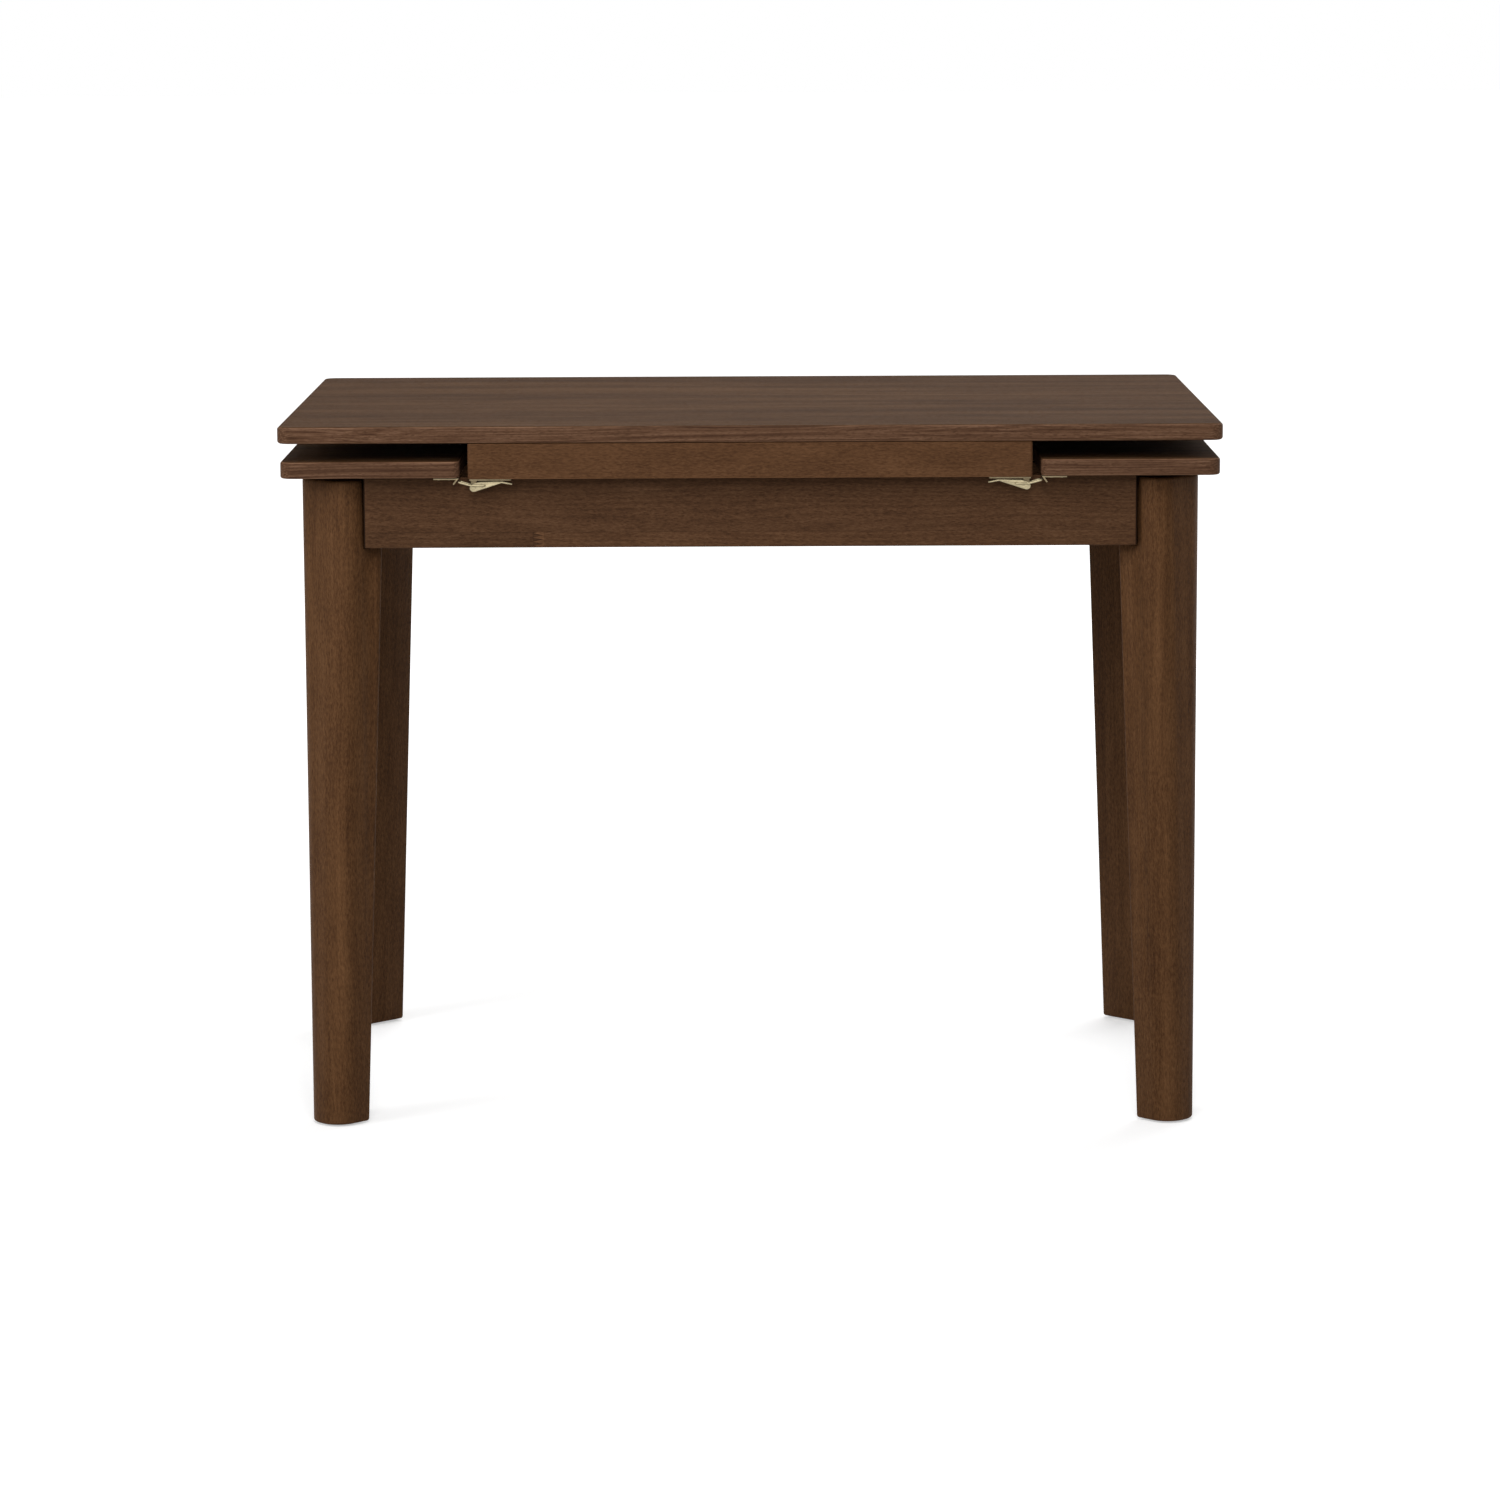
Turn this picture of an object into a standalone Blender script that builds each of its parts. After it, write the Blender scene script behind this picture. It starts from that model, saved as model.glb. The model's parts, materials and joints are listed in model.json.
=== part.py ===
"""Extending dining table with two draw leaves, in metres, +Z up, front towards -Y."""
from math import cos, pi, radians, sin, sqrt

import bmesh
import bpy
from mathutils import Vector

# Driving dimensions

FIT = 0.0003                    # gap between pieces that rest on each other
TOP_LENGTH = 1.000
TOP_DEPTH = 0.650
TOP_HEIGHT = 0.760
BOARD_THICKNESS = 0.018         # table top and leaves
TOP_CORNER = 0.014              # plan radius of the top's and leaves' outer corners
EDGE_ROUND = 0.002
SETBACK = 0.0025                # centre board and leaves behind the top's edges

LEAF_LENGTH = 0.190
LEAF_INNER_CORNER = 0.008
LEAF_BED = 0.0008               # leaf's underside above the centre board's underside
LEAF_HEADROOM = 0.0006          # gap left under the top by either of the leaf's two rises
LEAF_JOINT = 0.0008             # gap between the drawn leaf and the top
LEAF_GAP = 0.009                # gap between the stowed leaf and the centre board

CENTRE_BOARD_DEPTH = 0.060      # front and back boards of the centre frame
CENTRE_BOARD_CORNER = 0.003
CENTRE_BOARD_EDGE_ROUND = 0.001
CENTRE_RAIL_WIDTH = 0.020

APRON_HEIGHT = 0.0752
APRON_THICKNESS = 0.020
APRON_CORNER = 0.005            # rounded ends of the apron's face
APRON_EDGE_ROUND = 0.0015
APRON_HOUSING = 0.0211          # length of the apron's end that lies in the leg
APRON_FACE = 0.004              # apron's face, behind the leg's foremost line

LEG_INSET = 0.0215              # outer faces of the legs behind the top's edges
LEG_BELOW_APRON = 0.003         # leg's top end under the apron's top edge
LEG_TOP_WIDTH = 0.0888
LEG_FOOT_WIDTH = 0.0615
LEG_TOP_NOSE = 0.0455           # foremost line of the front arris, from the outermost line of the side one
LEG_FOOT_NOSE = 0.0280
LEG_ARRIS_RADIUS = 0.024        # outer arrises
LEG_LEAN = 0.002                # foot's outer faces, behind those at the top
LEG_EDGE_ROUND = 0.003
GLIDE_RADIUS = 0.012
GLIDE_THICKNESS = 0.0017

BRACE_THICKNESS = 0.018
BRACE_HEIGHT = 0.050
BOLT_RADIUS = 0.003
BOLT_PLAY = 0.0003
BOLT_IN_LEG = 0.0315
BOLT_HEAD_RADIUS = 0.0065
BOLT_HEAD_HEIGHT = 0.004

RUNNER_FROM_LEG = 0.075         # runner's middle, from the side apron's end
RUNNER_WIDTH = 0.022
RUNNER_TAIL_HEIGHT = 0.040
RUNNER_END_SETBACK = 0.0035     # outer end behind the side apron's face, step behind the leaf's inner end
RUNNER_INNER_END = 0.020        # tail's end, from the table's middle
RUNNER_CLEARANCE = 0.0006
TIE_FROM_END = 0.005
TIE_WIDTH = 0.020
TIE_HEIGHT = 0.026
GUIDE_FROM_END = 0.0185         # guide's outer face, inwards of the centre board's end
GUIDE_THICKNESS = 0.020

POST_RADIUS = 0.004
POST_PLAY = 0.0001
POST_IN_LEAF = 0.010
POST_LENGTH = 0.036
POST_POSITIONS = {"inner": 0.0275, "outer": 0.1125}     # from the leaf's inner end

LATCH_FROM_FACE = 0.0115        # middle of a latch, behind the centre board's face
LATCH_WIDTH = 0.016
PLATE_THICKNESS = 0.0015
BASE_FROM_END = 0.0017          # base plate's outer end, inwards of the centre board's end
BASE_LENGTH = 0.0438
KEEPER_FROM_END = 0.0007        # keeper's inner end, from the leaf's inner end
KEEPER_LENGTH = 0.0268
HOOK_REACH = 0.0052
HOOK_DROP = 0.0070
SHEET = 0.001
PIN_RADIUS = 0.0013
PIN_PLAY = 0.0001
EAR_THICKNESS = 0.001
EAR_WALL = 0.0017               # metal of an ear round the pin
LEVER_WIDTH = 0.011
LEVER_HEEL_WALL = 0.0029        # metal of a lever's cheek round the pin
LEVER_PLAY = 0.0005             # gap from the lever's cheeks to the ears inside and the bail outside
LEVER_PIVOT = (0.0060, 0.0080)  # inwards of the centre board's end, under the base plate
LEVER_TIP = (0.0361, 0.0014)
LEVER_TAIL = (0.0467, 0.0038)
LEVER_SHOULDER = (0.0110, 0.0022)
LEVER_WEB_END = 0.0150
BAIL_PIVOT = (0.0175, 0.0054)
BAIL_BAR = (0.0010, 0.0027)     # outwards of the leaf's inner end, under the keeper
WIRE_RADIUS = 0.0010

ARC_STEPS = 6
LEG_ARC_STEPS = 8
WIRE_SIDES = 8
ROUND_SIDES = 20
BEYOND = 0.05                   # how far a cutter runs past the piece it cuts

# Levels and places that follow from them

leg_foot = GLIDE_THICKNESS + FIT
top_underside = TOP_HEIGHT - BOARD_THICKNESS
centre_top = top_underside - FIT
leaf_surface = top_underside - BOARD_THICKNESS - 2 * LEAF_HEADROOM
leaf_underside = leaf_surface - BOARD_THICKNESS
leaf_rise = (TOP_HEIGHT - leaf_surface) / 2
leaf_outer_end = TOP_LENGTH / 2 - SETBACK
leaf_inner_end = leaf_outer_end - LEAF_LENGTH
leaf_travel = TOP_LENGTH / 2 + LEAF_JOINT - leaf_inner_end
slope = leaf_rise / leaf_travel
centre_underside = leaf_underside - LEAF_BED
centre_end = leaf_inner_end - LEAF_GAP
board_face = TOP_DEPTH / 2 - SETBACK
apron_top = centre_underside - FIT
apron_bottom = apron_top - APRON_HEIGHT
leg_top = apron_top - LEG_BELOW_APRON
leg_outer_x = TOP_LENGTH / 2 - LEG_INSET
leg_outer_y = TOP_DEPTH / 2 - LEG_INSET
apron_face_x = leg_outer_x - APRON_FACE
apron_face_y = leg_outer_y - APRON_FACE
apron_inner_x = apron_face_x - APRON_THICKNESS
apron_inner_y = apron_face_y - APRON_THICKNESS
apron_end_x = leg_outer_x - LEG_TOP_WIDTH + APRON_HOUSING
apron_end_y = leg_outer_y - LEG_TOP_WIDTH + APRON_HOUSING
brace_middle = (apron_top + apron_bottom) / 2
brace_bottom = brace_middle - BRACE_HEIGHT / 2
brace_top = brace_middle + BRACE_HEIGHT / 2
runner_y = apron_end_y - RUNNER_FROM_LEG
runner_bed = leaf_underside - FIT
runner_step = leaf_inner_end - RUNNER_END_SETBACK
runner_outer_end = apron_face_x - RUNNER_END_SETBACK
tail_top = apron_top - FIT
guide_outer = centre_end - GUIDE_FROM_END
guide_inner = guide_outer - GUIDE_THICKNESS
post_top = leaf_underside + POST_IN_LEAF
post_bottom = post_top - POST_LENGTH
plate_bottom = centre_underside - FIT - PLATE_THICKNESS
latch_y = board_face - LATCH_FROM_FACE
ear_spread = LEVER_WIDTH / 2 - SHEET - LEVER_PLAY - EAR_THICKNESS / 2

SIDES = {"left": -1, "right": 1}
ENDS = {"front": -1, "back": 1}
CORNERS = [(end, side) for end in ENDS for side in SIDES]


# Materials

def material(name, colour, roughness, metallic=0.0):
    """A plain Principled material."""
    made = bpy.data.materials.new(name)
    made.use_nodes = True
    shader = made.node_tree.nodes["Principled BSDF"]
    shader.inputs["Base Color"].default_value = (*colour, 1.0)
    shader.inputs["Roughness"].default_value = roughness
    shader.inputs["Metallic"].default_value = metallic
    return made


for startup_object in list(bpy.data.objects):
    bpy.data.objects.remove(startup_object)

walnut = material("walnut_stain", (0.13, 0.068, 0.04), 0.45)
frame_wood = material("inner_frame_wood", (0.16, 0.09, 0.05), 0.6)
brass = material("yellow_zinc", (0.60, 0.52, 0.31), 0.35, 1.0)
steel = material("steel", (0.55, 0.55, 0.56), 0.35, 1.0)
plastic = material("glide_plastic", (0.02, 0.02, 0.02), 0.6)


# Shapes

def solid(name, corners, faces, look, origin=(0.0, 0.0, 0.0)):
    """A named object from world corners, with outward faces and its origin where asked."""
    home = Vector(origin)
    mesh = bpy.data.meshes.new(name)
    mesh.from_pydata([Vector(corner) - home for corner in corners], [], faces)
    work = bmesh.new()
    work.from_mesh(mesh)
    bmesh.ops.recalc_face_normals(work, faces=work.faces)
    work.to_mesh(mesh)
    work.free()
    mesh.materials.append(look)
    made = bpy.data.objects.new(name, mesh)
    made.location = home
    bpy.context.scene.collection.objects.link(made)
    return made


def loft(name, rings, look, origin=(0.0, 0.0, 0.0)):
    """A closed body through rings of equal count, capped at both ends."""
    count = len(rings[0])
    corners = [corner for ring in rings for corner in ring]
    faces = [tuple(range(count)), tuple(range(len(corners) - count, len(corners)))]
    for row in range(len(rings) - 1):
        for step in range(count):
            after = (step + 1) % count
            low, high = row * count, (row + 1) * count
            faces.append((low + step, low + after, high + after, high + step))
    return solid(name, corners, faces, look, origin)


def upright(name, outline, low, high, look):
    """A plan outline carried from one level to another."""
    return loft(name, [[(x, y, level) for x, y in outline] for level in (low, high)], look)


def across(name, outline, low, high, look, origin=(0.0, 0.0, 0.0)):
    """An outline of (x, z) points carried along Y."""
    return loft(name, [[(x, y, z) for x, z in outline] for y in (low, high)], look, origin)


def turned(name, start, direction, profile, look):
    """A round body about a line: profile holds (distance along it, radius)."""
    along = Vector(direction).normalized()
    sideways = along.orthogonal().normalized()
    other = along.cross(sideways)
    rings = []
    for distance, radius in profile:
        middle = Vector(start) + along * distance
        turns = [2 * pi * step / ROUND_SIDES for step in range(ROUND_SIDES)]
        rings.append([middle + sideways * radius * cos(a) + other * radius * sin(a) for a in turns])
    return loft(name, rings, look)


def wire(name, path, radius, look, origin):
    """A round wire along straight stretches with mitred corners."""
    points = [Vector(point) for point in path]
    rings = []
    for index, point in enumerate(points):
        into = (point - points[max(index - 1, 0)]).normalized()
        out = (points[min(index + 1, len(points) - 1)] - point).normalized()
        along = (into + out).normalized()
        level = Vector((0, 0, 1))
        flat = along.cross(level).normalized()
        straight = into if into.length else out
        stretch = 1 / along.dot(straight)
        turns = [2 * pi * step / WIRE_SIDES for step in range(WIRE_SIDES)]
        steep = flat.cross(along)
        rings.append([point + flat * radius * stretch * cos(a) + steep * radius * sin(a) for a in turns])
    return loft(name, rings, look, origin)


def soften(piece, width):
    """Round the sharp edges of a piece."""
    bevel = piece.modifiers.new("soften", "BEVEL")
    bevel.width = width
    bevel.segments = 3
    bevel.limit_method = "ANGLE"
    bevel.angle_limit = radians(40)
    return piece


def combine(piece, tool, operation):
    """Cut or join a hidden tool body into a piece."""
    change = piece.modifiers.new(tool.name, "BOOLEAN")
    change.operation = operation
    change.object = tool
    tool.hide_render = True
    tool.display_type = "WIRE"


def rounded(low, high, radii):
    """A rectangle's outline with rounded corners; radii run from (low, low) round to (low, high)."""
    (x0, y0), (x1, y1) = low, high
    turns = [((x0, y0), (1, 1), 180), ((x1, y0), (-1, 1), 270),
             ((x1, y1), (-1, -1), 0), ((x0, y1), (1, -1), 90)]
    outline = []
    for ((x, y), (inward_x, inward_y), begin), radius in zip(turns, radii):
        if not radius:
            outline.append((x, y))
            continue
        for step in range(ARC_STEPS + 1):
            angle = radians(begin + 90 * step / ARC_STEPS)
            outline.append((x + radius * (inward_x + cos(angle)), y + radius * (inward_y + sin(angle))))
    return outline


def flipped(outline, sign_x, sign_y):
    """An outline drawn in the +X +Y quarter, mirrored to another quarter."""
    return [(x * sign_x, y * sign_y) for x, y in outline]


# Legs: tapered posts set diagonally, with rounded outer arrises and a flat face towards the table's middle

def leg_size(level):
    """Width across the leg and place of its front arris at a level."""
    rise = (level - leg_foot) / (leg_top - leg_foot)
    width = LEG_FOOT_WIDTH + (LEG_TOP_WIDTH - LEG_FOOT_WIDTH) * rise
    return width, LEG_FOOT_NOSE + (LEG_TOP_NOSE - LEG_FOOT_NOSE) * rise


def leg_lean(level):
    """How far the leg's outer faces stand in at a level."""
    return LEG_LEAN * (leg_top - level) / (leg_top - leg_foot)


def leg_outer_sum(level):
    """The outer face lies where the distances from the two outermost lines at the top add up to this."""
    _, nose = leg_size(level)
    return nose + LEG_ARRIS_RADIUS * (1 - sqrt(2)) + 2 * leg_lean(level)


def leg_inner_sum(level):
    """The inner face lies where the distances from the two outermost lines at the top add up to this."""
    width, nose = leg_size(level)
    return 2 * width - nose - LEG_ARRIS_RADIUS * (sqrt(2) - 1) + 2 * leg_lean(level)


def leg_ring(level, inset):
    """The leg's section at a level, from its outermost lines at the top, drawn in by an inset."""
    _, nose = leg_size(level)
    lean = leg_lean(level)
    radius = LEG_ARRIS_RADIUS - inset
    side_arris = (LEG_ARRIS_RADIUS + lean, nose + lean)
    ring = []
    for (u, v), begin in ((side_arris, 135), (side_arris[::-1], 225)):
        for step in range(LEG_ARC_STEPS + 1):
            angle = radians(begin + 90 * step / LEG_ARC_STEPS)
            ring.append((u + radius * cos(angle), v + radius * sin(angle)))
    last_u, last_v = ring[-1]
    reach = (leg_inner_sum(level) - inset * sqrt(2) - last_u - last_v) / 2
    arris = (last_u + reach, last_v + reach)
    return ring + [arris, arris[::-1]]


def make_leg(end, side):
    """One leg with seats for two aprons and the bolt's bore."""
    sign_x, sign_y = SIDES[side], ENDS[end]
    levels = []
    for step in range(ARC_STEPS + 1):
        angle = pi / 2 * step / ARC_STEPS
        levels.append((LEG_EDGE_ROUND * (1 - cos(angle)), LEG_EDGE_ROUND * (1 - sin(angle))))
    rows = [(leg_foot + rise, inset) for rise, inset in levels]
    rows += [(leg_top - rise, inset) for rise, inset in reversed(levels)]
    rings = []
    for level, inset in rows:
        ring = flipped(leg_ring(level, inset), -1, -1)
        rings.append([(sign_x * (leg_outer_x + u), sign_y * (leg_outer_y + v), level) for u, v in ring])
    leg = loft(f"leg_{end}_{side}", rings, walnut)
    seat_bottom = apron_bottom - FIT
    seat_top = leg_top + BEYOND
    front_seat = [(apron_end_x + FIT, apron_inner_y - FIT), (apron_end_x + FIT, leg_outer_y + BEYOND),
                  (apron_end_x - BEYOND, leg_outer_y + BEYOND), (apron_end_x - BEYOND, apron_inner_y - FIT)]
    side_seat = [(apron_inner_x - FIT, apron_end_y + FIT), (leg_outer_x + BEYOND, apron_end_y + FIT),
                 (leg_outer_x + BEYOND, apron_end_y - BEYOND), (apron_inner_x - FIT, apron_end_y - BEYOND)]
    for label, seat in (("front", front_seat), ("side", side_seat)):
        outline = flipped(seat, sign_x, sign_y)
        cutter = upright(f"seat_{label}_{end}_{side}", outline, seat_bottom, seat_top, walnut)
        combine(leg, cutter, "DIFFERENCE")
    combine(leg, bolt_bore(f"leg_bore_{end}_{side}", end, side), "DIFFERENCE")


def bolt_end():
    """Distance of a bolt's end from the leg's outer faces."""
    return leg_inner_sum(brace_middle) / 2 - BOLT_IN_LEG / sqrt(2)


def bolt_line(end, side, distance):
    """Start of a bolt's line, that far from both outer faces, and its direction to the middle."""
    sign_x, sign_y = SIDES[side], ENDS[end]
    start = (sign_x * (leg_outer_x - distance), sign_y * (leg_outer_y - distance), brace_middle)
    return start, (-sign_x, -sign_y, 0)


def bolt_bore(name, end, side):
    """Cutter for the bolt's hole."""
    start, direction = bolt_line(end, side, bolt_end() - BOLT_PLAY)
    radius = BOLT_RADIUS + BOLT_PLAY
    return turned(name, start, direction, [(0, radius), (2 * BEYOND, radius)], steel)


for end, side in CORNERS:
    make_leg(end, side)


# Glides under the feet

for end, side in CORNERS:
    inwards = (leg_outer_sum(leg_foot) + leg_inner_sum(leg_foot)) / 4
    place = (SIDES[side] * (leg_outer_x - inwards), ENDS[end] * (leg_outer_y - inwards), 0)
    profile = [(0, GLIDE_RADIUS), (GLIDE_THICKNESS, GLIDE_RADIUS)]
    turned(f"glide_{end}_{side}", place, (0, 0, 1), profile, plastic)


# Aprons: the side ones are notched for the runners

def runner_bottom(distance):
    """Level of the runner's sloped underside at a distance from the table's middle."""
    return tail_top - RUNNER_TAIL_HEIGHT + (distance - runner_step) * slope


def runner_notch(name, sign_x, sign_y, inner, outer, level):
    """Cutter for a runner's way through a cross piece, open at the top."""
    half = RUNNER_WIDTH / 2 + RUNNER_CLEARANCE
    outline = rounded((inner, runner_y - half), (outer, runner_y + half), (0, 0, 0, 0))
    return upright(name, flipped(outline, sign_x, sign_y), level, apron_top + BEYOND, frame_wood)


for end, sign in ENDS.items():
    radii = (0, 0, APRON_CORNER, APRON_CORNER)
    outline = rounded((-apron_end_x, apron_inner_y), (apron_end_x, apron_face_y), radii)
    apron = upright(f"apron_{end}", flipped(outline, 1, sign), apron_bottom, apron_top, walnut)
    soften(apron, APRON_EDGE_ROUND)

for side, sign in SIDES.items():
    radii = (0, APRON_CORNER, APRON_CORNER, 0)
    outline = rounded((apron_inner_x, -apron_end_y), (apron_face_x, apron_end_y), radii)
    apron = upright(f"apron_{side}", flipped(outline, sign, 1), apron_bottom, apron_top, walnut)
    soften(apron, APRON_EDGE_ROUND)
    for end, sign_y in ENDS.items():
        level = runner_bottom(apron_inner_x) - RUNNER_CLEARANCE
        reach = (apron_inner_x - BEYOND, apron_face_x + BEYOND)
        combine(apron, runner_notch(f"apron_notch_{end}_{side}", sign, sign_y, *reach, level), "DIFFERENCE")


# Corner braces, each with a bolt into its leg

for end, side in CORNERS:
    near = leg_inner_sum(brace_top) + FIT
    far = near + BRACE_THICKNESS * sqrt(2)
    edge = APRON_FACE + APRON_THICKNESS + FIT
    plan = [(near - edge, edge), (edge, near - edge), (edge, far - edge), (far - edge, edge)]
    outline = [(SIDES[side] * (leg_outer_x - u), ENDS[end] * (leg_outer_y - v)) for u, v in plan]
    brace = upright(f"corner_brace_{end}_{side}", outline, brace_bottom, brace_top, frame_wood)
    combine(brace, bolt_bore(f"brace_bore_{end}_{side}", end, side), "DIFFERENCE")
    start, direction = bolt_line(end, side, bolt_end())
    head = far / sqrt(2) - bolt_end() * sqrt(2) + FIT
    profile = [(0, BOLT_RADIUS), (head, BOLT_RADIUS), (head, BOLT_HEAD_RADIUS),
               (head + BOLT_HEAD_HEIGHT, BOLT_HEAD_RADIUS)]
    turned(f"leg_bolt_{end}_{side}", start, direction, profile, steel)


# Centre board: front and back boards closed by two rails, on the frame and under the top

for end, sign in ENDS.items():
    inner = board_face - CENTRE_BOARD_DEPTH
    radii = (0, 0, CENTRE_BOARD_CORNER, CENTRE_BOARD_CORNER)
    outline = rounded((-centre_end, inner), (centre_end, board_face), radii)
    board = upright(f"centre_board_{end}", flipped(outline, 1, sign), centre_underside, centre_top, walnut)
    soften(board, CENTRE_BOARD_EDGE_ROUND)

for side, sign in SIDES.items():
    half = board_face - CENTRE_BOARD_DEPTH - FIT
    outline = rounded((centre_end - CENTRE_RAIL_WIDTH, -half), (centre_end, half), (0, 0, 0, 0))
    upright(f"centre_rail_{side}", flipped(outline, sign, 1), centre_underside, centre_top, frame_wood)


# Table top

outline = rounded((-TOP_LENGTH / 2, -TOP_DEPTH / 2), (TOP_LENGTH / 2, TOP_DEPTH / 2), (TOP_CORNER,) * 4)
soften(upright("table_top", outline, top_underside, TOP_HEIGHT, walnut), EDGE_ROUND)


# Runner guides: slotted boards across the frame

for side, sign in SIDES.items():
    half = apron_inner_y - FIT
    outline = rounded((guide_inner, -half), (guide_outer, half), (0, 0, 0, 0))
    guide = upright(f"runner_guide_{side}", flipped(outline, sign, 1), apron_bottom, apron_top, frame_wood)
    for end, sign_y in ENDS.items():
        level = runner_bottom(guide_inner) - RUNNER_CLEARANCE
        reach = (guide_inner - BEYOND, guide_outer + BEYOND)
        combine(guide, runner_notch(f"guide_slot_{end}_{side}", sign, sign_y, *reach, level), "DIFFERENCE")


# Runners: tapered bearers under the leaf with sloped tails, tied together

def post_bore(name, place, low, high):
    """Cutter for a lift post's hole."""
    radius = POST_RADIUS + POST_PLAY
    return turned(name, (*place, low), (0, 0, 1), [(0, radius), (high - low, radius)], steel)


for side, sign in SIDES.items():
    tail_end = runner_bottom(RUNNER_INNER_END)
    profile = [(RUNNER_INNER_END, tail_end), (runner_outer_end, runner_bottom(runner_outer_end)),
               (runner_outer_end, runner_bed), (runner_step, runner_bed),
               (runner_step, tail_top), (RUNNER_INNER_END, tail_end + RUNNER_TAIL_HEIGHT)]
    for end, sign_y in ENDS.items():
        middle = sign_y * runner_y
        near, far = middle - RUNNER_WIDTH / 2, middle + RUNNER_WIDTH / 2
        runner = across(f"runner_{end}_{side}", flipped(profile, sign, 1), near, far, frame_wood)
        for label, distance in POST_POSITIONS.items():
            place = (sign * (leaf_inner_end + distance), middle)
            bore = post_bore(f"runner_bore_{label}_{end}_{side}", place,
                             post_bottom - FIT, leaf_underside + BEYOND)
            combine(runner, bore, "DIFFERENCE")
    half = runner_y - RUNNER_WIDTH / 2 - FIT
    tie_inner = RUNNER_INNER_END + TIE_FROM_END
    tie_middle = runner_bottom(tie_inner + TIE_WIDTH / 2) + RUNNER_TAIL_HEIGHT / 2
    outline = rounded((tie_inner, -half), (tie_inner + TIE_WIDTH, half), (0, 0, 0, 0))
    upright(f"runner_tie_{side}", flipped(outline, sign, 1),
            tie_middle - TIE_HEIGHT / 2, tie_middle + TIE_HEIGHT / 2, frame_wood)


# Leaves with their lift posts

for side, sign in SIDES.items():
    radii = (LEAF_INNER_CORNER, TOP_CORNER, TOP_CORNER, LEAF_INNER_CORNER)
    outline = rounded((leaf_inner_end, -board_face), (leaf_outer_end, board_face), radii)
    leaf = upright(f"leaf_{side}", flipped(outline, sign, 1), leaf_underside, leaf_surface, walnut)
    soften(leaf, EDGE_ROUND)
    for end, sign_y in ENDS.items():
        for label, distance in POST_POSITIONS.items():
            place = (sign * (leaf_inner_end + distance), sign_y * runner_y)
            bore = post_bore(f"leaf_bore_{label}_{end}_{side}", place,
                             leaf_underside - BEYOND, post_top + FIT)
            combine(leaf, bore, "DIFFERENCE")
            turned(f"lift_post_{label}_{end}_{side}", (*place, post_bottom), (0, 0, 1),
                   [(0, POST_RADIUS), (POST_LENGTH, POST_RADIUS)], steel)


# Latches: a base under the centre board, a lever, a bail, and a keeper under the leaf

def latch_strip(name, profile, sign, middle, width, look, origin=(0.0, 0.0, 0.0)):
    """A latch profile of (distance, height) points, as wide as asked, about the latch's middle."""
    return across(name, flipped(profile, sign, 1), middle - width / 2, middle + width / 2, look, origin)


def under_board(place):
    """Distance from the table's middle and height of a place given from the board's end and base plate."""
    return centre_end - place[0], plate_bottom - place[1]


def latch_base(name, sign, middle):
    """Base plate with two ears that carry the lever's pin."""
    outer = centre_end - BASE_FROM_END
    plate_top = plate_bottom + PLATE_THICKNESS
    plate = rounded((outer - BASE_LENGTH, plate_bottom), (outer, plate_top), (0, 0, 0, 0))
    base = latch_strip(name, plate, sign, middle, LATCH_WIDTH, brass)
    pivot, height = under_board(LEVER_PIVOT)
    root = plate_bottom + PLATE_THICKNESS / 2
    radius = PIN_RADIUS + EAR_WALL
    ear = [(pivot + radius, root), (pivot - radius, root)]
    for step in range(2 * ARC_STEPS + 1):
        angle = pi + pi * step / (2 * ARC_STEPS)
        ear.append((pivot + radius * cos(angle), height + radius * sin(angle)))
    for label, shift in (("near", -ear_spread), ("far", ear_spread)):
        tab = latch_strip(f"{name}_ear_{label}", ear, sign, middle + shift, EAR_THICKNESS, brass)
        combine(base, tab, "UNION")
    pin = turned(f"{name}_pin", (sign * pivot, middle - LEVER_WIDTH / 2, height), (0, 1, 0),
                 [(0, PIN_RADIUS), (LEVER_WIDTH, PIN_RADIUS)], brass)
    combine(base, pin, "UNION")


def latch_lever(name, sign, middle):
    """Folded lever: two cheeks on the pin, a web between them and a finger tail."""
    pivot, height = under_board(LEVER_PIVOT)
    radius = PIN_RADIUS + LEVER_HEEL_WALL
    heel = []
    for step in range(2 * ARC_STEPS + 1):
        angle = radians(70 - 180 * step / (2 * ARC_STEPS))
        heel.append((pivot + radius * cos(angle), height + radius * sin(angle)))
    tail, tip, shoulder = under_board(LEVER_TAIL), under_board(LEVER_TIP), under_board(LEVER_SHOULDER)
    tail_low = (tail[0] + SHEET / 4, tail[1] - SHEET)
    tip_low = (tip[0] + SHEET, tip[1] - SHEET * 1.5)
    profile = [tail, tip, shoulder, *heel, tip_low, tail_low]
    lever = latch_strip(name, profile, sign, middle, LEVER_WIDTH, brass, (sign * pivot, middle, height))
    fall = (heel[-1][1] - tip_low[1]) / (heel[-1][0] - tip_low[0])
    web_start, web_end = tip_low[0] + SHEET, centre_end - LEVER_WEB_END
    web = [(web_start, tip_low[1] + SHEET + fall * SHEET),
           (web_end, tip_low[1] + SHEET + fall * (web_end - tip_low[0])),
           (web_end, height - BEYOND), (pivot + BEYOND, height - BEYOND),
           (pivot + BEYOND, height + BEYOND), (web_start, height + BEYOND)]
    hollow = latch_strip(f"{name}_hollow", web, sign, middle, LEVER_WIDTH - 2 * SHEET, brass)
    combine(lever, hollow, "DIFFERENCE")
    hole = turned(f"{name}_hole", (sign * pivot, middle - BEYOND, height), (0, 1, 0),
                  [(0, PIN_RADIUS + PIN_PLAY), (2 * BEYOND, PIN_RADIUS + PIN_PLAY)], brass)
    combine(lever, hole, "DIFFERENCE")


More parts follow.
